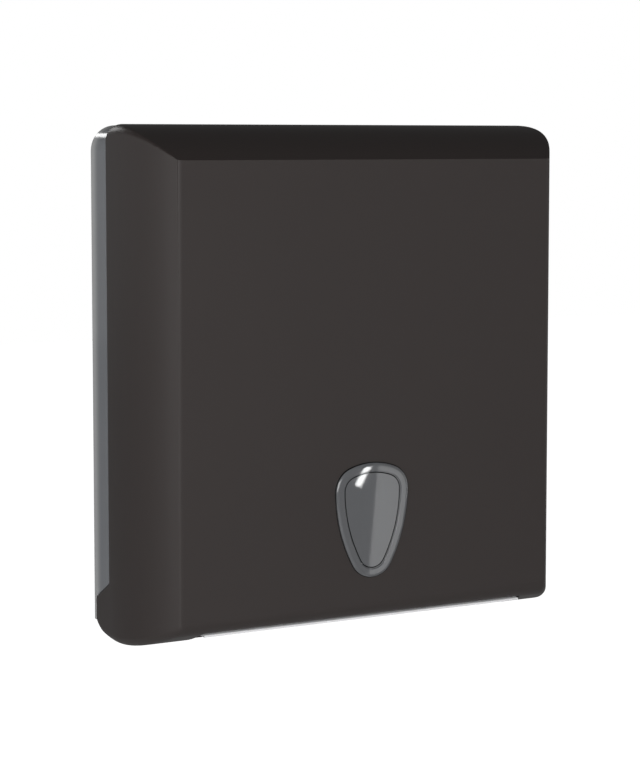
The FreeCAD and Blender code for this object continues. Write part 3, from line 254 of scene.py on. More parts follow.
def moulded_grain_group():
    """Fine moulded grain: a height, and a colour and a roughness that vary a little."""
    group, start, end = new_group(
        "Moulded grain",
        [("Colour", COLOUR, (0.5, 0.5, 0.5, 1)), ("Grain size", FLOAT, 0.0004),
         ("Roughness", FLOAT, 0.4), ("Unevenness", FLOAT, 0.05)],
        [("Colour", COLOUR), ("Roughness", FLOAT), ("Height", FLOAT)])
    place = piece_coordinates(group, -900, -300)
    scale = maths(group, -700, -150, "DIVIDE", 1.0, start.outputs["Grain size"])
    height = noise(group, -480, -200, place, scale, detail=3.0, roughness=0.55)
    flow = noise(group, -480, -480, place, scale=9.0, detail=2.0)
    cloud = maths(group, -260, -460, "SUBTRACT", flow, NOISE_MIDDLE)
    wide = maths(group, -80, -460, "MULTIPLY", cloud, start.outputs["Unevenness"])
    bright = maths(group, 80, -460, "ADD", wide, 1.0)
    tint = add_node(group, "ShaderNodeVectorMath", 260, 80,
                    {0: start.outputs["Colour"], "Scale": bright}, operation="SCALE")
    rough = maths(group, 260, -260, "ADD", start.outputs["Roughness"], wide)
    set_inputs(end, {"Colour": tint.outputs[0], "Roughness": rough, "Height": height})
    return group


def handling_marks_group():
    """Faint scratches from handling, in patches: a mask from 0 to 1."""
    group, start, end = new_group(
        "Handling marks", [("Scale", FLOAT, 60.0), ("Amount", FLOAT, 0.5)], [("Mask", FLOAT)])
    place = piece_coordinates(group, -900, -300)
    turned = add_node(group, "ShaderNodeMapping", -700, -300,
                      {"Vector": place, "Rotation": (0.5, 0.9, 0.3), "Scale": (1.0, 14.0, 1.6)})
    lines = noise(group, -480, -200, turned.outputs[0], start.outputs["Scale"], detail=4.0,
                  roughness=0.7)
    thin = fade(group, -240, -200, lines, start=0.66, end=0.78)
    patches = noise(group, -480, -480, place, scale=14.0, detail=1.0)
    here = fade(group, -240, -480, patches, start=0.45, end=0.7)
    both = maths(group, 0, -300, "MULTIPLY", thin, here)
    amount = maths(group, 200, -300, "MULTIPLY", both, start.outputs["Amount"], clamp=True)
    set_inputs(end, {"Mask": amount})
    return group


def embossed_paper_group():
    """Pressed paper: small round dimples and loose fibres, as a height and a faint shade."""
    group, start, end = new_group(
        "Embossed paper", [("Dimple pitch", FLOAT, 0.0019)],
        [("Height", FLOAT), ("Shade", FLOAT)])
    place = piece_coordinates(group, -900, -300)
    scale = maths(group, -700, -150, "DIVIDE", 1.0, start.outputs["Dimple pitch"])
    dimples = add_node(group, "ShaderNodeTexVoronoi", -480, 0,
                       {"Vector": place, "Scale": scale, "Randomness": 0.35})
    rounded = fade(group, -240, 0, dimples.outputs["Distance"], start=0.15, end=0.5,
                   curve="SMOOTHSTEP")
    fibres = noise(group, -480, -300, place, scale=900.0, detail=4.0, roughness=0.7)
    soft = maths(group, -240, -300, "MULTIPLY", fibres, FIBRE_HEIGHT)
    height = maths(group, 60, -100, "ADD", rounded, soft)
    clouds = noise(group, -480, -560, place, scale=45.0, detail=3.0)
    shade = fade(group, -240, -560, clouds, start=0.3, end=0.7, first=0.965, last=1.0)
    set_inputs(end, {"Height": height, "Shade": shade})
    return group


def brushed_metal_group():
    """Fine directional marks of turned and rolled metal, as a height and a roughness."""
    group, start, end = new_group(
        "Brushed metal", [("Along", VECTOR, (1, 1, 14)), ("Roughness", FLOAT, 0.28)],
        [("Height", FLOAT), ("Roughness", FLOAT)])
    place = piece_coordinates(group, -900, -300)
    stretch = add_node(group, "ShaderNodeVectorMath", -700, -200,
                       {0: place, 1: start.outputs["Along"]}, operation="MULTIPLY")
    marks = noise(group, -480, -200, stretch.outputs[0], scale=420.0, detail=3.0,
                  roughness=0.6)
    spread = maths(group, -240, -380, "SUBTRACT", marks, NOISE_MIDDLE)
    softer = maths(group, -60, -380, "MULTIPLY", spread, METAL_UNEVENNESS)
    rough = maths(group, 140, -380, "ADD", start.outputs["Roughness"], softer, clamp=True)
    set_inputs(end, {"Height": marks, "Roughness": rough})
    return group


GROUP_MAKERS = {
    "Moulded grain": moulded_grain_group,
    "Handling marks": handling_marks_group,
    "Embossed paper": embossed_paper_group,
    "Brushed metal": brushed_metal_group,
}


def place_group(tree, name, x, y, values):
    """Places a shared group, which is built when the first material asks for it."""
    group = bpy.data.node_groups.get(name) or GROUP_MAKERS[name]()
    return add_node(tree, "ShaderNodeGroup", x, y, values, node_tree=group)


# ---------------------------------------------------------------- materials

PALER, LIFT = 1.7, 0.01     # a mark on plastic is this many times as pale, and this much more
DARKER = 0.7                # a mark on metal has this share of the metal's colour
PLASTIC_MARKS, METAL_MARKS = 55.0, 160.0        # scales of the handling marks
PAINTED_LIGHT_POWER = 1.6             # power of the painted light's fade towards the wall


def empty_tree(owner):
    """The node tree of a material or a world, with nothing in it."""
    owner.use_nodes = True
    owner.node_tree.nodes.clear()
    return owner.node_tree


def new_material(name):
    """A new material, its node tree and its Principled shader."""
    material = bpy.data.materials.new(name)
    tree = empty_tree(material)
    shader = add_node(tree, "ShaderNodeBsdfPrincipled", 380, 0)
    add_node(tree, "ShaderNodeOutputMaterial", 700, 0, {"Surface": shader.outputs[0]})
    return material, tree, shader


def add_bump(tree, shader, height, strength, distance):
    """Bumps a surface by a height; the distance says how deep it seems."""
    bump = add_node(tree, "ShaderNodeBump", 160, -420,
                    {"Height": height, "Strength": strength, "Distance": distance})
    set_inputs(shader, {"Normal": bump.outputs[0]})


def moulded_plastic(name, colour, roughness, grain, depth, unevenness=0.05, marks=0.25,
                    gloss=0.5):
    """Plastic with a moulded grain and faint handling marks."""
    material, tree, shader = new_material(name)
    body = place_group(tree, "Moulded grain", -300, 0,
                       {"Colour": colour, "Grain size": grain, "Roughness": roughness,
                        "Unevenness": unevenness})
    worn = place_group(tree, "Handling marks", -300, -340,
                       {"Scale": PLASTIC_MARKS, "Amount": marks})
    paler = tuple(min(1.0, channel * PALER + LIFT) for channel in colour)
    shown = mix_colours(tree, 60, 120, worn.outputs["Mask"], body.outputs["Colour"], paler)
    add_bump(tree, shader, body.outputs["Height"], strength=0.35, distance=depth)
    set_inputs(shader, {"Base Color": shown, "Roughness": body.outputs["Roughness"],
                        "Specular IOR Level": gloss})
    return material, tree, shader


def paper_material(name, colour):
    """Soft embossed paper."""
    material, tree, shader = new_material(name)
    pressed = place_group(tree, "Embossed paper", -300, 0, {"Dimple pitch": 1.9 * MM})
    tint = add_node(tree, "ShaderNodeVectorMath", 60, 120,
                    {0: colour, "Scale": pressed.outputs["Shade"]}, operation="SCALE")
    add_bump(tree, shader, pressed.outputs["Height"], strength=0.5, distance=0.12 * MM)
    set_inputs(shader, {"Base Color": tint.outputs[0], "Roughness": 0.92,
                        "Specular IOR Level": 0.2, "Sheen Weight": 0.15})
    return material


def metal_material(name, colour, roughness, along):
    """Metal with fine marks, which lie this many times closer along each axis."""
    material, tree, shader = new_material(name)
    marks = place_group(tree, "Brushed metal", -300, 0,
                        {"Along": along, "Roughness": roughness})
    worn = place_group(tree, "Handling marks", -300, -340,
                       {"Scale": METAL_MARKS, "Amount": 0.6})
    darker = tuple(channel * DARKER for channel in colour)
    shown = mix_colours(tree, 60, 120, worn.outputs["Mask"], colour, darker)
    add_bump(tree, shader, marks.outputs["Height"], strength=0.12, distance=0.02 * MM)
    set_inputs(shader, {"Base Color": shown, "Roughness": marks.outputs["Roughness"],
                        "Metallic": 1.0})
    return material


def depth_of(tree):
    """The Y of a point of a piece: 0 at the wall, and less towards the front."""
    place = piece_coordinates(tree, -700, 500)
    return add_node(tree, "ShaderNodeSeparateXYZ", -500, 500, {"Vector": place}).outputs["Y"]


def paint_over(tree, shader, mask, colour):
    """Mixes a second colour into a plastic's own where a mask says so."""
    own = shader.inputs["Base Color"].links[0].from_socket
    set_inputs(shader, {"Base Color": mix_colours(tree, 200, 320, mask, own, colour)})


def dress(nodes, material):
    """Puts one material on some of the frame's nodes."""
    for name in nodes:
        mesh = NODES[name].data
        mesh.materials.clear()
        mesh.materials.append(material)


# ---------------------------------------------------------------- modelling helpers

MERGE_GAP = 0.002 * MM                  # points closer than this are one
FLAT_TURN = math.radians(0.3)           # facets that turn by less than this are one flat face
LEVEL_SLACK = 0.03 * MM                 # how far off a level a point may lie and still be on it
RIBBON_CUTS = 7                         # cuts across a towel's width, so that it can crumple


def deselect():
    if bpy.context.object and bpy.context.object.mode != "OBJECT":
        bpy.ops.object.mode_set(mode="OBJECT")
    bpy.ops.object.select_all(action="DESELECT")


def choose(obj):
    """Makes one piece the only selected piece and the active one."""
    deselect()
    obj.select_set(True)
    bpy.context.view_layer.objects.active = obj


def edit(obj, everything=False):
    """Opens one piece in edit mode with nothing or everything of it selected."""
    choose(obj)
    bpy.ops.object.mode_set(mode="EDIT")
    bpy.ops.mesh.select_all(action="SELECT" if everything else "DESELECT")
    return bmesh.from_edit_mesh(obj.data)


def leave_edit():
    bpy.ops.object.mode_set(mode="OBJECT")


def select_parts(obj, kind, test):
    """Selects the verts, edges or faces that pass the test, and counts them."""
    mesh = bmesh.from_edit_mesh(obj.data)
    modes = [kind == mode for mode in ("verts", "edges", "faces")]
    bpy.context.tool_settings.mesh_select_mode = modes
    parts = getattr(mesh, kind)
    for part in parts:
        part.select_set(bool(test(part)))
    mesh.select_flush_mode()
    bmesh.update_edit_mesh(obj.data)
    return sum(part.select for part in parts)


def apply_modifier(obj, kind, **settings):
    modifier = obj.modifiers.new(kind.title(), kind)
    for name, value in settings.items():
        setattr(modifier, name, value)
    choose(obj)
    bpy.ops.object.modifier_apply(modifier=modifier.name)


def put_place_into_mesh(obj):
    choose(obj)
    bpy.ops.object.transform_apply(location=True, rotation=True, scale=True)


def settle(obj, name, material):
    """Names a finished piece, puts its place into its mesh and gives it its material."""
    put_place_into_mesh(obj)
    obj.name = name
    obj.data.name = name
    obj.data.materials.clear()
    obj.data.materials.append(material)


def merged_copy(node):
    """A copy of a frame's node, with its loose triangles joined and no marks of the frame."""
    obj = NODES[node].copy()
    obj.data = NODES[node].data.copy()
    obj.parent = None
    for key in list(obj.keys()):
        del obj[key]
    bpy.context.scene.collection.objects.link(obj)
    if obj.data.has_custom_normals:
        choose(obj)
        bpy.ops.mesh.customdata_custom_splitnormals_clear()
    edit(obj, everything=True)
    bpy.ops.mesh.remove_doubles(threshold=MERGE_GAP)
    leave_edit()
    return obj


def flatten_facets(obj):
    """Joins the triangles of flat faces, so that edges can be rounded and faces inset."""
    edit(obj, everything=True)
    bpy.ops.mesh.dissolve_limited(angle_limit=FLAT_TURN)
    leave_edit()


def round_edges(obj, test, radius, steps):
    """Rounds the edges that pass the test."""
    edit(obj)
    if not select_parts(obj, "edges", test):
        raise RuntimeError(f"{obj.name} has no such edge to round")
    bpy.ops.mesh.bevel(offset=radius, segments=steps, affect="EDGES", clamp_overlap=True)
    leave_edit()


def smooth_below(obj, angle):
    """Smooth shading over the edges that turn by less than an angle."""
    choose(obj)
    bpy.ops.object.shade_smooth_by_angle(angle=angle)


def even_normals(obj, angle):
    """Smooth shading that keeps flat faces flat beside their rounded edges."""
    smooth_below(obj, angle)
    apply_modifier(obj, "WEIGHTED_NORMAL", keep_sharp=True, weight=80)


def turns(edge, least):
    """Whether the surface turns by more than an angle at an edge."""
    return len(edge.link_faces) == 2 and edge.calc_face_angle(0) > least


def at_depth(edge, y):
    """Whether an edge lies at one distance from the wall."""
    return all(abs(vertex.co.y - y) < LEVEL_SLACK for vertex in edge.verts)


def arc(centre, radius, first, last, steps):
    """Points (Y, Z) along an arc; the angles are in degrees from +Y towards +Z."""
    points = []
    for step in range(steps + 1):
        angle = math.radians(first + (last - first) * step / steps)
        points.append((centre[0] + radius * math.cos(angle),
                       centre[1] + radius * math.sin(angle)))
    return points


def ribbon(width, path):
    """A strip made by pulling a plane's near edge along a path of (Y, Z) points."""
    deselect()
    start_y, start_z = path[0]
    bpy.ops.mesh.primitive_plane_add(size=width, location=(0, start_y + width / 2, start_z))
    strip = bpy.context.object
    edit(strip)
    select_parts(strip, "verts", lambda vertex: vertex.co.y > 0)
    bpy.ops.mesh.delete(type="VERT")
    bpy.ops.mesh.select_all(action="SELECT")
    for here, there in zip(path, path[1:]):
        step = (0, there[0] - here[0], there[1] - here[1])
        bpy.ops.mesh.extrude_region_move(TRANSFORM_OT_translate={"value": step})
    select_parts(strip, "edges",
                 lambda edge: abs(edge.verts[0].co.x - edge.verts[1].co.x) > width / 2)
    bpy.ops.mesh.subdivide(number_cuts=RIBBON_CUTS)
    leave_edit()
    return strip


# ---------------------------------------------------------------- the cover

CREASE_TURN = math.radians(30)          # a crease of the cover turns by more than this
UPPER_PART = 100 * MM                   # creases above this height belong to the top
CREASE_DEPTH = 2.45 * MM                # how far behind the panel the frame's round reaches
CREASE_WIDTH = 3.2 * MM                 # how far it reaches in from the panel's side
CREASE_FADE = 9 * MM                    # below the panel's foot, the round comes back over this
TOP_EDGE = 0.1 * MM                     # how near the panel's top a point still belongs to it


class DISPENSER_OT_cover(bpy.types.Operator):
    """Makes the charcoal cover with its crisp creases and a fine moulded grain"""
    bl_idname = "dispenser.cover"
    bl_label = "Front Cover"

    def execute(self, context):
        wanted = context.scene.dispenser_cover
        material, _, _ = moulded_plastic(
            "Charcoal moulding", tuple(wanted.colour), wanted.roughness, wanted.grain,
            depth=0.02 * MM, unevenness=0.04, marks=0.1)
        dress(["front_cover"], material)
        shell = merged_copy("front_cover")
        self.sharpen_creases(shell, wanted)
        flatten_facets(shell)
        round_edges(shell, self.in_top_crease, wanted.edge, steps=3)
        settle(shell, "cover_shell", material)
        even_normals(shell, CREASE_TURN)
        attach(shell, "cover")
        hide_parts("front_cover")
        return {"FINISHED"}

    def in_top_crease(self, edge):
        """Whether an edge lies between the front panel and the curved top."""
        lowest = min(vertex.co.z for vertex in edge.verts)
        return lowest > UPPER_PART and at_depth(edge, COVER_LOW.y) and turns(edge, CREASE_TURN)

    def sharpen_creases(self, shell, wanted):
        """Pushes the round of each upright crease out towards its two faces, and less below."""

        def crown_reach(y):
            """How far the crown's surface lies from its axis, sideways or upwards."""
            return math.sqrt(wanted.crown ** 2 - (y + wanted.crown_back) ** 2)

        front, foot = COVER_LOW.y, COVER_LOW.z + wanted.toe_rise
        toe_y = front + wanted.toe
        crown_x, crown_z = COVER_HIGH.x - wanted.crown, COVER_HIGH.z - wanted.crown
        panel_side, panel_top = crown_x + crown_reach(front), crown_z + crown_reach(front)
        half_turn = math.asin(crown_reach(front) / wanted.crown) / 2
        most = (wanted.crease - wanted.edge) * (1 / math.cos(half_turn) - 1)
        mesh = edit(shell)
        for vertex in mesh.verts:
            x, y, z = abs(vertex.co.x), vertex.co.y, vertex.co.z
            if (y > front + CREASE_DEPTH or x < panel_side - CREASE_WIDTH
                    or z < foot - CREASE_FADE):
                continue
            at_top = z > panel_top - TOP_EDGE
            panel = Vector((0, -1, 0))
            if z <= foot:
                panel = Vector((0, y - toe_y, z - foot)).normalized()
            crown = Vector((x - crown_x, y + wanted.crown_back, 0)).normalized()
            out = Vector((abs(vertex.normal.x), vertex.normal.y, vertex.normal.z))
            if at_top:
                out = Vector((out.x, out.y, 0)).normalized()
            nearer = min(out.angle(panel), out.angle(crown))
            gap = min(wanted.crease * (1 / math.cos(nearer) - 1), most)
            share = min(1.0, max(0.0, 1 - (foot - z) / CREASE_FADE))
            step = out * gap * share
            y_new = max(y + step.y, front)
            z_new = crown_z + crown_reach(y_new) if at_top else z + step.z
            vertex.co = (math.copysign(x + step.x, vertex.co.x), y_new, z_new)
        bmesh.update_edit_mesh(shell.data)
        leave_edit()


# ---------------------------------------------------------------- the window

INNER_TURN = math.radians(60)           # the rim's square inner edge turns by more than this
OUTER_TURN = math.radians(35)           # and its outer edge, where a slope begins, by this
INNER_ROUND = 0.5 * MM                  # rounding of the inner edge
LENS_TURN = math.radians(32)            # the lens is shaded smooth below this
FRONTAL = -0.99                         # the normal's Y of a face that looks to the front
PANE_AREA = 500 * MM ** 2               # the pane is the only such face larger than this
PANE_BEHIND = 0.3 * MM                  # that lies further than this behind the rim
GROOVE_SHADE_COLOUR = (0.006, 0.006, 0.006)     # painted shade: near-black of the lens where little light gets in
SHADE_START, SHADE_FULL = 0.1 * MM, 0.35 * MM     # the painted shade deepens between these, behind the pane
SHADE_STOP, SHADE_GONE = -0.2 * MM, 0.1 * MM      # and fades out between these, at the cover


class DISPENSER_OT_lens(bpy.types.Operator):
    """Makes the smoked lens with its rounded rim and grooved pane, and dresses its retainer"""
    bl_idname = "dispenser.lens"
    bl_label = "Window Lens"

    def execute(self, context):
        wanted = context.scene.dispenser_lens
        material = self.smoked_material(wanted)
        dress(["window_lens"], material)
        lens = merged_copy("window_lens")
        flatten_facets(lens)
        rim = LENS_LOW.y
        round_edges(lens, lambda edge: turns(edge, INNER_TURN) and at_depth(edge, rim),
                    INNER_ROUND, steps=3)
        round_edges(lens, lambda edge: turns(edge, OUTER_TURN) and at_depth(edge, rim),
                    wanted.round_off, steps=5)
        self.groove_pane(lens, wanted)
        settle(lens, "smoked_lens", material)
        even_normals(lens, LENS_TURN)
        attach(lens, "cover")
        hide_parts("window_lens")
        ring, _, _ = moulded_plastic("Retainer plastic", (0.03, 0.03, 0.032), roughness=0.5,
                                     grain=0.5 * MM, depth=0.01 * MM)
        dress(["window_retainer"], ring)
        return {"FINISHED"}

    def smoked_material(self, wanted):
        """See-through smoke plastic that is denser where it is seen edge-on, with painted shade
        in its groove.
        """
        material, tree, shader = moulded_plastic(
            "Smoked lens", tuple(wanted.colour), roughness=0.02, grain=8 * MM,
            depth=0.0001 * MM, unevenness=0.0, marks=0.03)
        # painted shade in the groove and at the foot of the rim
        self.paint_groove_shade(tree, shader, LENS_LOW.y + wanted.recess)
        edge_on = add_node(tree, "ShaderNodeLayerWeight", 60, -200, {"Blend": 0.35})
        dense = maths(tree, 200, -200, "ADD", edge_on.outputs["Fresnel"],
                      1.0 - wanted.clearness, clamp=True)
        set_inputs(shader, {"Alpha": dense})
        return material

    def paint_groove_shade(self, tree, shader, pane):
        """Paints shade into the groove and the foot of the rim, behind the pane's front."""
        depth, cover = depth_of(tree), COVER_LOW.y
        deep = fade(tree, -300, 500, depth, pane + SHADE_START, pane + SHADE_FULL)
        outside = fade(tree, -300, 760, depth, cover + SHADE_STOP, cover + SHADE_GONE,
                       first=1.0, last=0.0)
        foot = maths(tree, -60, 600, "MULTIPLY", deep, outside)
        # painted shade: near-black is mixed in where the groove and the rim's foot lie in shade
        paint_over(tree, shader, foot, GROOVE_SHADE_COLOUR)

    def groove_pane(self, lens, wanted):
        """Cuts a groove with sloping sides round the pane."""
        def is_pane(face):
            return (face.normal.y < FRONTAL and face.calc_area() > PANE_AREA
                    and face.calc_center_median().y > LENS_LOW.y + PANE_BEHIND)

        edit(lens)
        if select_parts(lens, "faces", is_pane) != 1:
            raise RuntimeError("The lens has no pane to groove")
        for depth in (0, -wanted.groove_depth, wanted.groove_depth):
            bpy.ops.mesh.inset(thickness=wanted.groove, depth=depth)
        leave_edit()


# ---------------------------------------------------------------- the base

class DISPENSER_OT_base(bpy.types.Operator):
    """Gives the base its smoke-grey plastic, and the tray, guides and bushes theirs"""
    bl_idname = "dispenser.base"
    bl_label = "Base, Tray and Guides"

    def execute(self, context):
        wanted = context.scene.dispenser_base
        smoke, tree, shader = moulded_plastic(
            "Smoke moulding", tuple(wanted.colour), roughness=0.10, grain=1.2 * MM,
            depth=0.001 * MM, unevenness=0.04, marks=0.1, gloss=0.3)
        # painted light: the base is made paler towards the wall
        self.paint_wall_light(tree, shader, tuple(wanted.painted_wall_light))
        dress(["back_plate"], smoke)
        inner, _, _ = moulded_plastic("Grey moulding", (0.26, 0.27, 0.28), roughness=0.45,
                                      grain=0.5 * MM, depth=0.01 * MM)
        dress(["paper_tray", "side_guide_left", "side_guide_right"], inner)
        bearing, _, _ = moulded_plastic("Bearing plastic", (0.70, 0.70, 0.67), roughness=0.35,
                                        grain=0.8 * MM, depth=0.004 * MM)
        dress(["hinge_bush_left", "hinge_bush_right"], bearing)
        return {"FINISHED"}

    def paint_wall_light(self, tree, shader, colour):
        """Paints light onto a see-through moulding: paler towards the wall, where light comes in
        behind it.
        """
        near = fade(tree, -300, 500, depth_of(tree), start=-20 * MM, end=-1 * MM,
                    curve="SMOOTHERSTEP")
        painted_light = maths(tree, -120, 500, "POWER", near, PAINTED_LIGHT_POWER)
        # painted light: the paler colour is mixed in towards the wall
        paint_over(tree, shader, painted_light, colour)


# ---------------------------------------------------------------- the towels

PAPER_TURN = math.radians(50)           # paper is shaded smooth below this
FIRST_WIDTH, PACKED_WIDTH = 0.2248, 0.2235      # of the first towel and of those in the pack
LOWER_BEND, UPPER_BEND = 6 * MM, 2.2 * MM       # bends of the first towel, at slot and shelf
SHELF_LIFT, SHELF_GAP = 0.75, 0.62      # how its panels lie on the shelf, in plies
SHELF_BACK = 4 * MM                     # how far its folds stay clear of the pack's back
LAST_PANEL = 46 * MM                    # how much of its last panel shows on the shelf
PACK_MARGIN, PACK_LIFT = 0.9 * MM, 2.0 * MM     # how far the pack stays inside the frame's
PACK_FOLD = 0.16                        # radius of a fold, as a share of the towel's pitch
PACK_ENDS = 2 * MM, 3 * MM              # how far its two free edges stay behind the folds
TIP_STEPS, BEND_STEPS, FOLD_STEPS = 6, 8, 4     # facets of a round fold
PACK_TURN = 0.12                        # how far a towel lies askew, in degrees
PACK_SIDEWAYS, PACK_FORTH = 0.5, 0.3    # and out of place, in millimetres


class DISPENSER_OT_towels(bpy.types.Operator):
    """Makes the first towel, which hangs in the slot, and the pack of folded towels"""
    bl_idname = "dispenser.towels"
    bl_label = "Folded Towels"

    def execute(self, context):
        wanted = context.scene.dispenser_towels
        paper = paper_material("White paper", tuple(wanted.colour))
        dress(["towel_stack", "lead_towel"], paper)
        first = self.first_towel(wanted)
        settle(first, "first_towel", paper)
        smooth_below(first, PAPER_TURN)
        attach(first, "base")
        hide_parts("lead_towel")
        pack = self.towel_pack(wanted)
        settle(pack, "towel_pack", paper)
        smooth_below(pack, PAPER_TURN)
        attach(pack, "base")
        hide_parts("towel_stack")
        return {"FINISHED"}

    def folded_sheet(self, width, path, ply, cloud, depth):
        """A sheet along a path, pushed up and down a little in soft clouds."""
        towel = ribbon(width, path)
        texture = bpy.data.textures.new("crumple", "CLOUDS")
        texture.noise_scale = cloud
        apply_modifier(towel, "DISPLACE", texture=texture, strength=depth, mid_level=0.5,
                       direction="Z", texture_coords="LOCAL")
        apply_modifier(towel, "SOLIDIFY", thickness=ply, offset=0)
        return towel

    def first_towel(self, wanted):
        """The first towel: its folded edge hangs to the slot, its panels lie on the shelf."""
        half = wanted.spread / 2
        outside = half + wanted.ply / 2
        tip_y, run_z = LEAD_LOW.y + outside, LEAD_LOW.z + outside
        drop_y, shelf_z = LEAD_HIGH.y - outside, LEAD_HIGH.z + wanted.ply * SHELF_LIFT
        bend, turn, gap = LOWER_BEND - outside, UPPER_BEND, wanted.ply * SHELF_GAP
        bend_at = (drop_y - bend, run_z + bend)
        turn_at = (drop_y + turn, shelf_z + gap - turn)
        back = PACK_HIGH.y - SHELF_BACK
        path = [(back, shelf_z)]
        path += arc(turn_at, turn - gap, 90, 180, FOLD_STEPS)
        path += arc(bend_at, bend + half, 0, -90, BEND_STEPS)
        path += arc((tip_y, run_z), half, -90, -270, TIP_STEPS)
        path += arc(bend_at, bend - half, -90, 0, BEND_STEPS)
        path += arc(turn_at, turn + gap, 180, 90, FOLD_STEPS)
        path += arc((back, shelf_z + 3 * gap), gap, -90, 90, FOLD_STEPS)
        path.append((back - LAST_PANEL, shelf_z + 4 * gap))
        return self.folded_sheet(FIRST_WIDTH, path, wanted.ply, cloud=60 * MM, depth=0.5 * MM)

    def towel_pack(self, wanted):
        """A pile of Z-folded towels, every second one turned round."""
        rng = random.Random(wanted.seed)
        front, back = PACK_LOW.y + PACK_MARGIN, PACK_HIGH.y - PACK_MARGIN
        low = PACK_LOW.z + PACK_LIFT
        fold = wanted.pitch * PACK_FOLD
        path = [(back - PACK_ENDS[0], 0)]
        path += arc((front + fold, fold), fold, -90, -270, FOLD_STEPS)
        path += arc((back - fold, 3 * fold), fold, -90, 90, FOLD_STEPS)
        path.append((front + PACK_ENDS[1], 4 * fold))
        towel = self.folded_sheet(PACKED_WIDTH, path, wanted.ply, cloud=70 * MM,
                                  depth=0.35 * MM)
        middle = (front + back) / 2
        copies = []
        for number in range(int((PACK_HIGH.z - low) / wanted.pitch)):
            copy = towel.copy()
            copy.data = towel.data.copy()
            bpy.context.scene.collection.objects.link(copy)
            put_place_into_mesh(copy)
            askew = math.radians(rng.uniform(-PACK_TURN, PACK_TURN))
            bpy.ops.transform.rotate(value=math.pi * (number % 2) + askew, orient_axis="Z",
                                     center_override=(0, middle, 0))
            shift = (rng.uniform(-PACK_SIDEWAYS, PACK_SIDEWAYS) * MM,
                     rng.uniform(-PACK_FORTH, PACK_FORTH) * MM,
                     low + wanted.ply / 2 + number * wanted.pitch)
            bpy.ops.transform.translate(value=shift)
            copies.append(copy)
        bpy.data.objects.remove(towel)
        choose(copies[0])
        for copy in copies:
            copy.select_set(True)
        bpy.ops.object.join()
        return bpy.context.object


# ---------------------------------------------------------------- lock, hinge and screws

class DISPENSER_OT_hardware(bpy.types.Operator):
    """Gives the lock, hinge pins, strike and screws their metals"""
    bl_idname = "dispenser.hardware"
    bl_label = "Lock, Hinge and Screws"

    def execute(self, context):
        zinc = metal_material("Satin zinc", (0.63, 0.63, 0.64), 0.24, along=(1, 1, 10))
        steel = metal_material("Plated steel", (0.56, 0.565, 0.58), 0.3, along=(12, 1, 1))
        brass = metal_material("Wafer brass", (0.78, 0.60, 0.28), 0.3, along=(1, 12, 1))
        dress(["lock_housing", "lock_barrel", "lock_cam"], zinc)
        dress(["lock_washer", "lock_nut", "cam_washer", "cam_screw", "lock_strike",
               "strike_screws", "tray_screws", "guide_screws", "hinge_pin_left",
               "hinge_pin_right"], steel)
        dress(["lock_wafers"], brass)
        return {"FINISHED"}


# ---------------------------------------------------------------- the stage

WHITE = (1.0, 1.0, 1.0)                         # of the background
ROOM_LEVEL, ROOM_OVERHEAD = 0.48, 0.06          # light of the room, level and overhead
DIM_SIDE, DIM_SHARE = (0.5, 0.866, 0), 0.3      # back right, where the room has this share of it
ROOM_WHITE, FLOOR_WHITE = 0.04, 0.08            # share of the white that gloss mirrors
FLOOR_SIZE, FLOOR_DROP = 14.0, 0.62             # the object hangs this far above the floor
GLOW_SPAN, GLOW = (0.5, 1.4), (0.85, 1.0)       # white of the floor at these distances

MIDDLE = (0, -0.05, 0)                          # of the object
PANE = (0, LENS_LOW.y, (LENS_LOW.z + LENS_HIGH.z) / 2)
LAMPS = [   # name, place, aim, width, height, power, roll in degrees
    ("key_softbox", (-1.25, -2.20, 0.20), MIDDLE, 1.2, 1.2, 50, 0),
    ("left_softbox", (-2.3, -0.45, 0.1), MIDDLE, 0.8, 1.6, 5, 0),
    ("back_left_softbox", (-0.45, 2.2, 1.05), MIDDLE, 0.5, 0.5, 3, 0),
    ("right_strip", (2.2, -0.25, -0.1), MIDDLE, 0.15, 1.0, 7, 0),
    ("pane_card", (0.9445, -1.90, -0.505), PANE, 0.105, 0.24, 0.20, -4.5),
    ("glint_card", (0.8645, -1.90, -0.432), PANE, 0.010, 0.040, 0.04, -27),
]


def white_rays(tree, mirrored):
    """1 for camera and transmission rays, a share for gloss rays and 0 for light on pieces."""
    path = add_node(tree, "ShaderNodeLightPath", -600, 300).outputs
    seen = maths(tree, -400, 300, "MAXIMUM", path["Is Camera Ray"], path["Is Transmission Ray"])
    share = maths(tree, -400, 460, "MULTIPLY", path["Is Glossy Ray"], mirrored)
    return maths(tree, -200, 300, "MAXIMUM", seen, share)


def white_world():
    """White to the camera; its light is a soft room, dimmer overhead and at the back right."""
    world = bpy.data.worlds.new("Studio")
    bpy.context.scene.world = world
    tree = empty_tree(world)
    place = add_node(tree, "ShaderNodeTexCoord", -900, -100).outputs["Generated"]
    parts = add_node(tree, "ShaderNodeSeparateXYZ", -700, -100, {"Vector": place})
    up = fade(tree, -480, -100, parts.outputs["Z"], start=0.0, end=0.6, first=ROOM_LEVEL,
              last=ROOM_OVERHEAD, curve="SMOOTHSTEP")
    towards = add_node(tree, "ShaderNodeVectorMath", -700, -360, {0: place, 1: DIM_SIDE},
                       operation="DOT_PRODUCT")
    back = fade(tree, -480, -360, towards.outputs["Value"], start=0.1, end=0.85, first=1.0,
                last=DIM_SHARE, curve="SMOOTHSTEP")
    lit = maths(tree, -340, -100, "MULTIPLY", up, back)
    room = add_node(tree, "ShaderNodeBackground", -200, -100, {"Color": WHITE, "Strength": lit})
    white = add_node(tree, "ShaderNodeBackground", -200, 100, {"Color": WHITE, "Strength": 1.0})
    pick = add_node(tree, "ShaderNodeMixShader", 300, 0,
                    {0: white_rays(tree, ROOM_WHITE), 1: room.outputs[0], 2: white.outputs[0]})
    add_node(tree, "ShaderNodeOutputWorld", 600, 0, {"Surface": pick.outputs[0]})


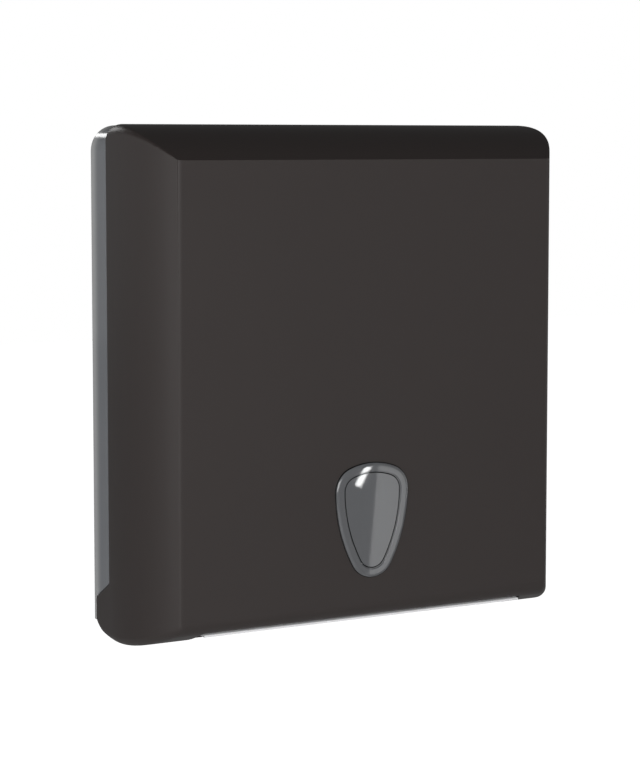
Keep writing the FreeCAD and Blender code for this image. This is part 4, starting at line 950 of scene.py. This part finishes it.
def floor_material(colour):
    """Pale floor: white to the camera, with the object's shadow on it, and clear from below."""
    material = bpy.data.materials.new("Pale floor")
    tree = empty_tree(material)
    matt = add_node(tree, "ShaderNodeBsdfDiffuse", -100, 100, {"Color": colour})
    far = add_node(tree, "ShaderNodeVectorMath", -700, -300,
                   {0: piece_coordinates(tree, -900, -300)}, operation="LENGTH")
    pale = fade(tree, -500, -300, far.outputs["Value"], *GLOW_SPAN, *GLOW)
    shown = maths(tree, -300, -200, "MULTIPLY", white_rays(tree, FLOOR_WHITE), pale)
    glow = add_node(tree, "ShaderNodeEmission", -100, -100, {"Color": WHITE, "Strength": shown})
    both = add_node(tree, "ShaderNodeAddShader", 300, 0,
                    {0: matt.outputs[0], 1: glow.outputs[0]})
    under = add_node(tree, "ShaderNodeNewGeometry", 300, 300)
    clear = add_node(tree, "ShaderNodeBsdfTransparent", 300, -200)
    side = add_node(tree, "ShaderNodeMixShader", 600, 0,
                    {0: under.outputs["Backfacing"], 1: both.outputs[0], 2: clear.outputs[0]})
    add_node(tree, "ShaderNodeOutputMaterial", 800, 0, {"Surface": side.outputs[0]})
    return material


def softbox(name, place, aim, width, height, power, roll):
    """A rectangular lamp that points at a place, rolled about its own axis."""
    light = bpy.data.lights.new(name, "AREA")
    light.shape = "RECTANGLE"
    light.size, light.size_y = width, height
    light.energy = power
    lamp = bpy.data.objects.new(name, light)
    lamp.location = place
    facing = (Vector(aim) - Vector(place)).to_track_quat("-Z", "Y")
    rolled = facing @ Quaternion((0, 0, 1), math.radians(roll))
    lamp.rotation_euler = rolled.to_euler()
    bpy.context.scene.collection.objects.link(lamp)


def add_camera(wanted):
    lens = bpy.data.cameras.new("camera")
    lens.lens, lens.shift_y = wanted.lens, wanted.shift
    lens.sensor_width = 36.0
    lens.clip_start, lens.clip_end = 0.01, 100.0
    camera = bpy.data.objects.new("camera", lens)
    camera.location = wanted.place
    camera.rotation_euler = (math.pi / 2 - wanted.tilt, 0, -wanted.turn)
    bpy.context.scene.collection.objects.link(camera)
    bpy.context.scene.camera = camera


class DISPENSER_OT_stage(bpy.types.Operator):
    """Makes the floor, the lamps, the world and the camera"""
    bl_idname = "dispenser.stage"
    bl_label = "Stage"

    def execute(self, context):
        wanted = context.scene.dispenser_stage
        deselect()
        bpy.ops.mesh.primitive_plane_add(size=FLOOR_SIZE,
                                         location=(0, 0, COVER_LOW.z - FLOOR_DROP))
        floor = context.object
        floor.name = "studio_floor"
        floor.data.materials.append(floor_material(tuple(wanted.floor)))
        white_world()
        for lamp in LAMPS:
            softbox(*lamp)
        add_camera(wanted)
        context.scene.view_settings.view_transform = "Standard"
        return {"FINISHED"}


# ---------------------------------------------------------------- the add-on

PIECES = [DISPENSER_OT_cover, DISPENSER_OT_lens, DISPENSER_OT_base, DISPENSER_OT_towels,
          DISPENSER_OT_hardware, DISPENSER_OT_stage]


class DISPENSER_PT_panel(bpy.types.Panel):
    """Lists what the dispenser is made of"""
    bl_idname = "DISPENSER_PT_panel"
    bl_label = "Paper Towel Dispenser"
    bl_space_type = "VIEW_3D"
    bl_region_type = "UI"
    bl_category = "Dispenser"

    def draw(self, context):
        for piece in PIECES:
            self.layout.operator(piece.bl_idname)
        for name, group in SETTINGS.items():
            box = self.layout.box()
            for prop in group.__annotations__:
                box.prop(getattr(context.scene, name), prop)


CLASSES = [*SETTINGS.values(), *PIECES, DISPENSER_PT_panel]


def register():
    for cls in CLASSES:
        bpy.utils.register_class(cls)
    for name, group in SETTINGS.items():
        setattr(bpy.types.Scene, name, bpy.props.PointerProperty(type=group))


def unregister():
    for name in SETTINGS:
        delattr(bpy.types.Scene, name)
    for cls in reversed(CLASSES):
        bpy.utils.unregister_class(cls)


def main():
    register()
    bpy.ops.dispenser.cover()
    bpy.ops.dispenser.lens()
    bpy.ops.dispenser.base()
    bpy.ops.dispenser.towels()
    bpy.ops.dispenser.hardware()
    bpy.ops.dispenser.stage()


if __name__ == "__main__":
    main()
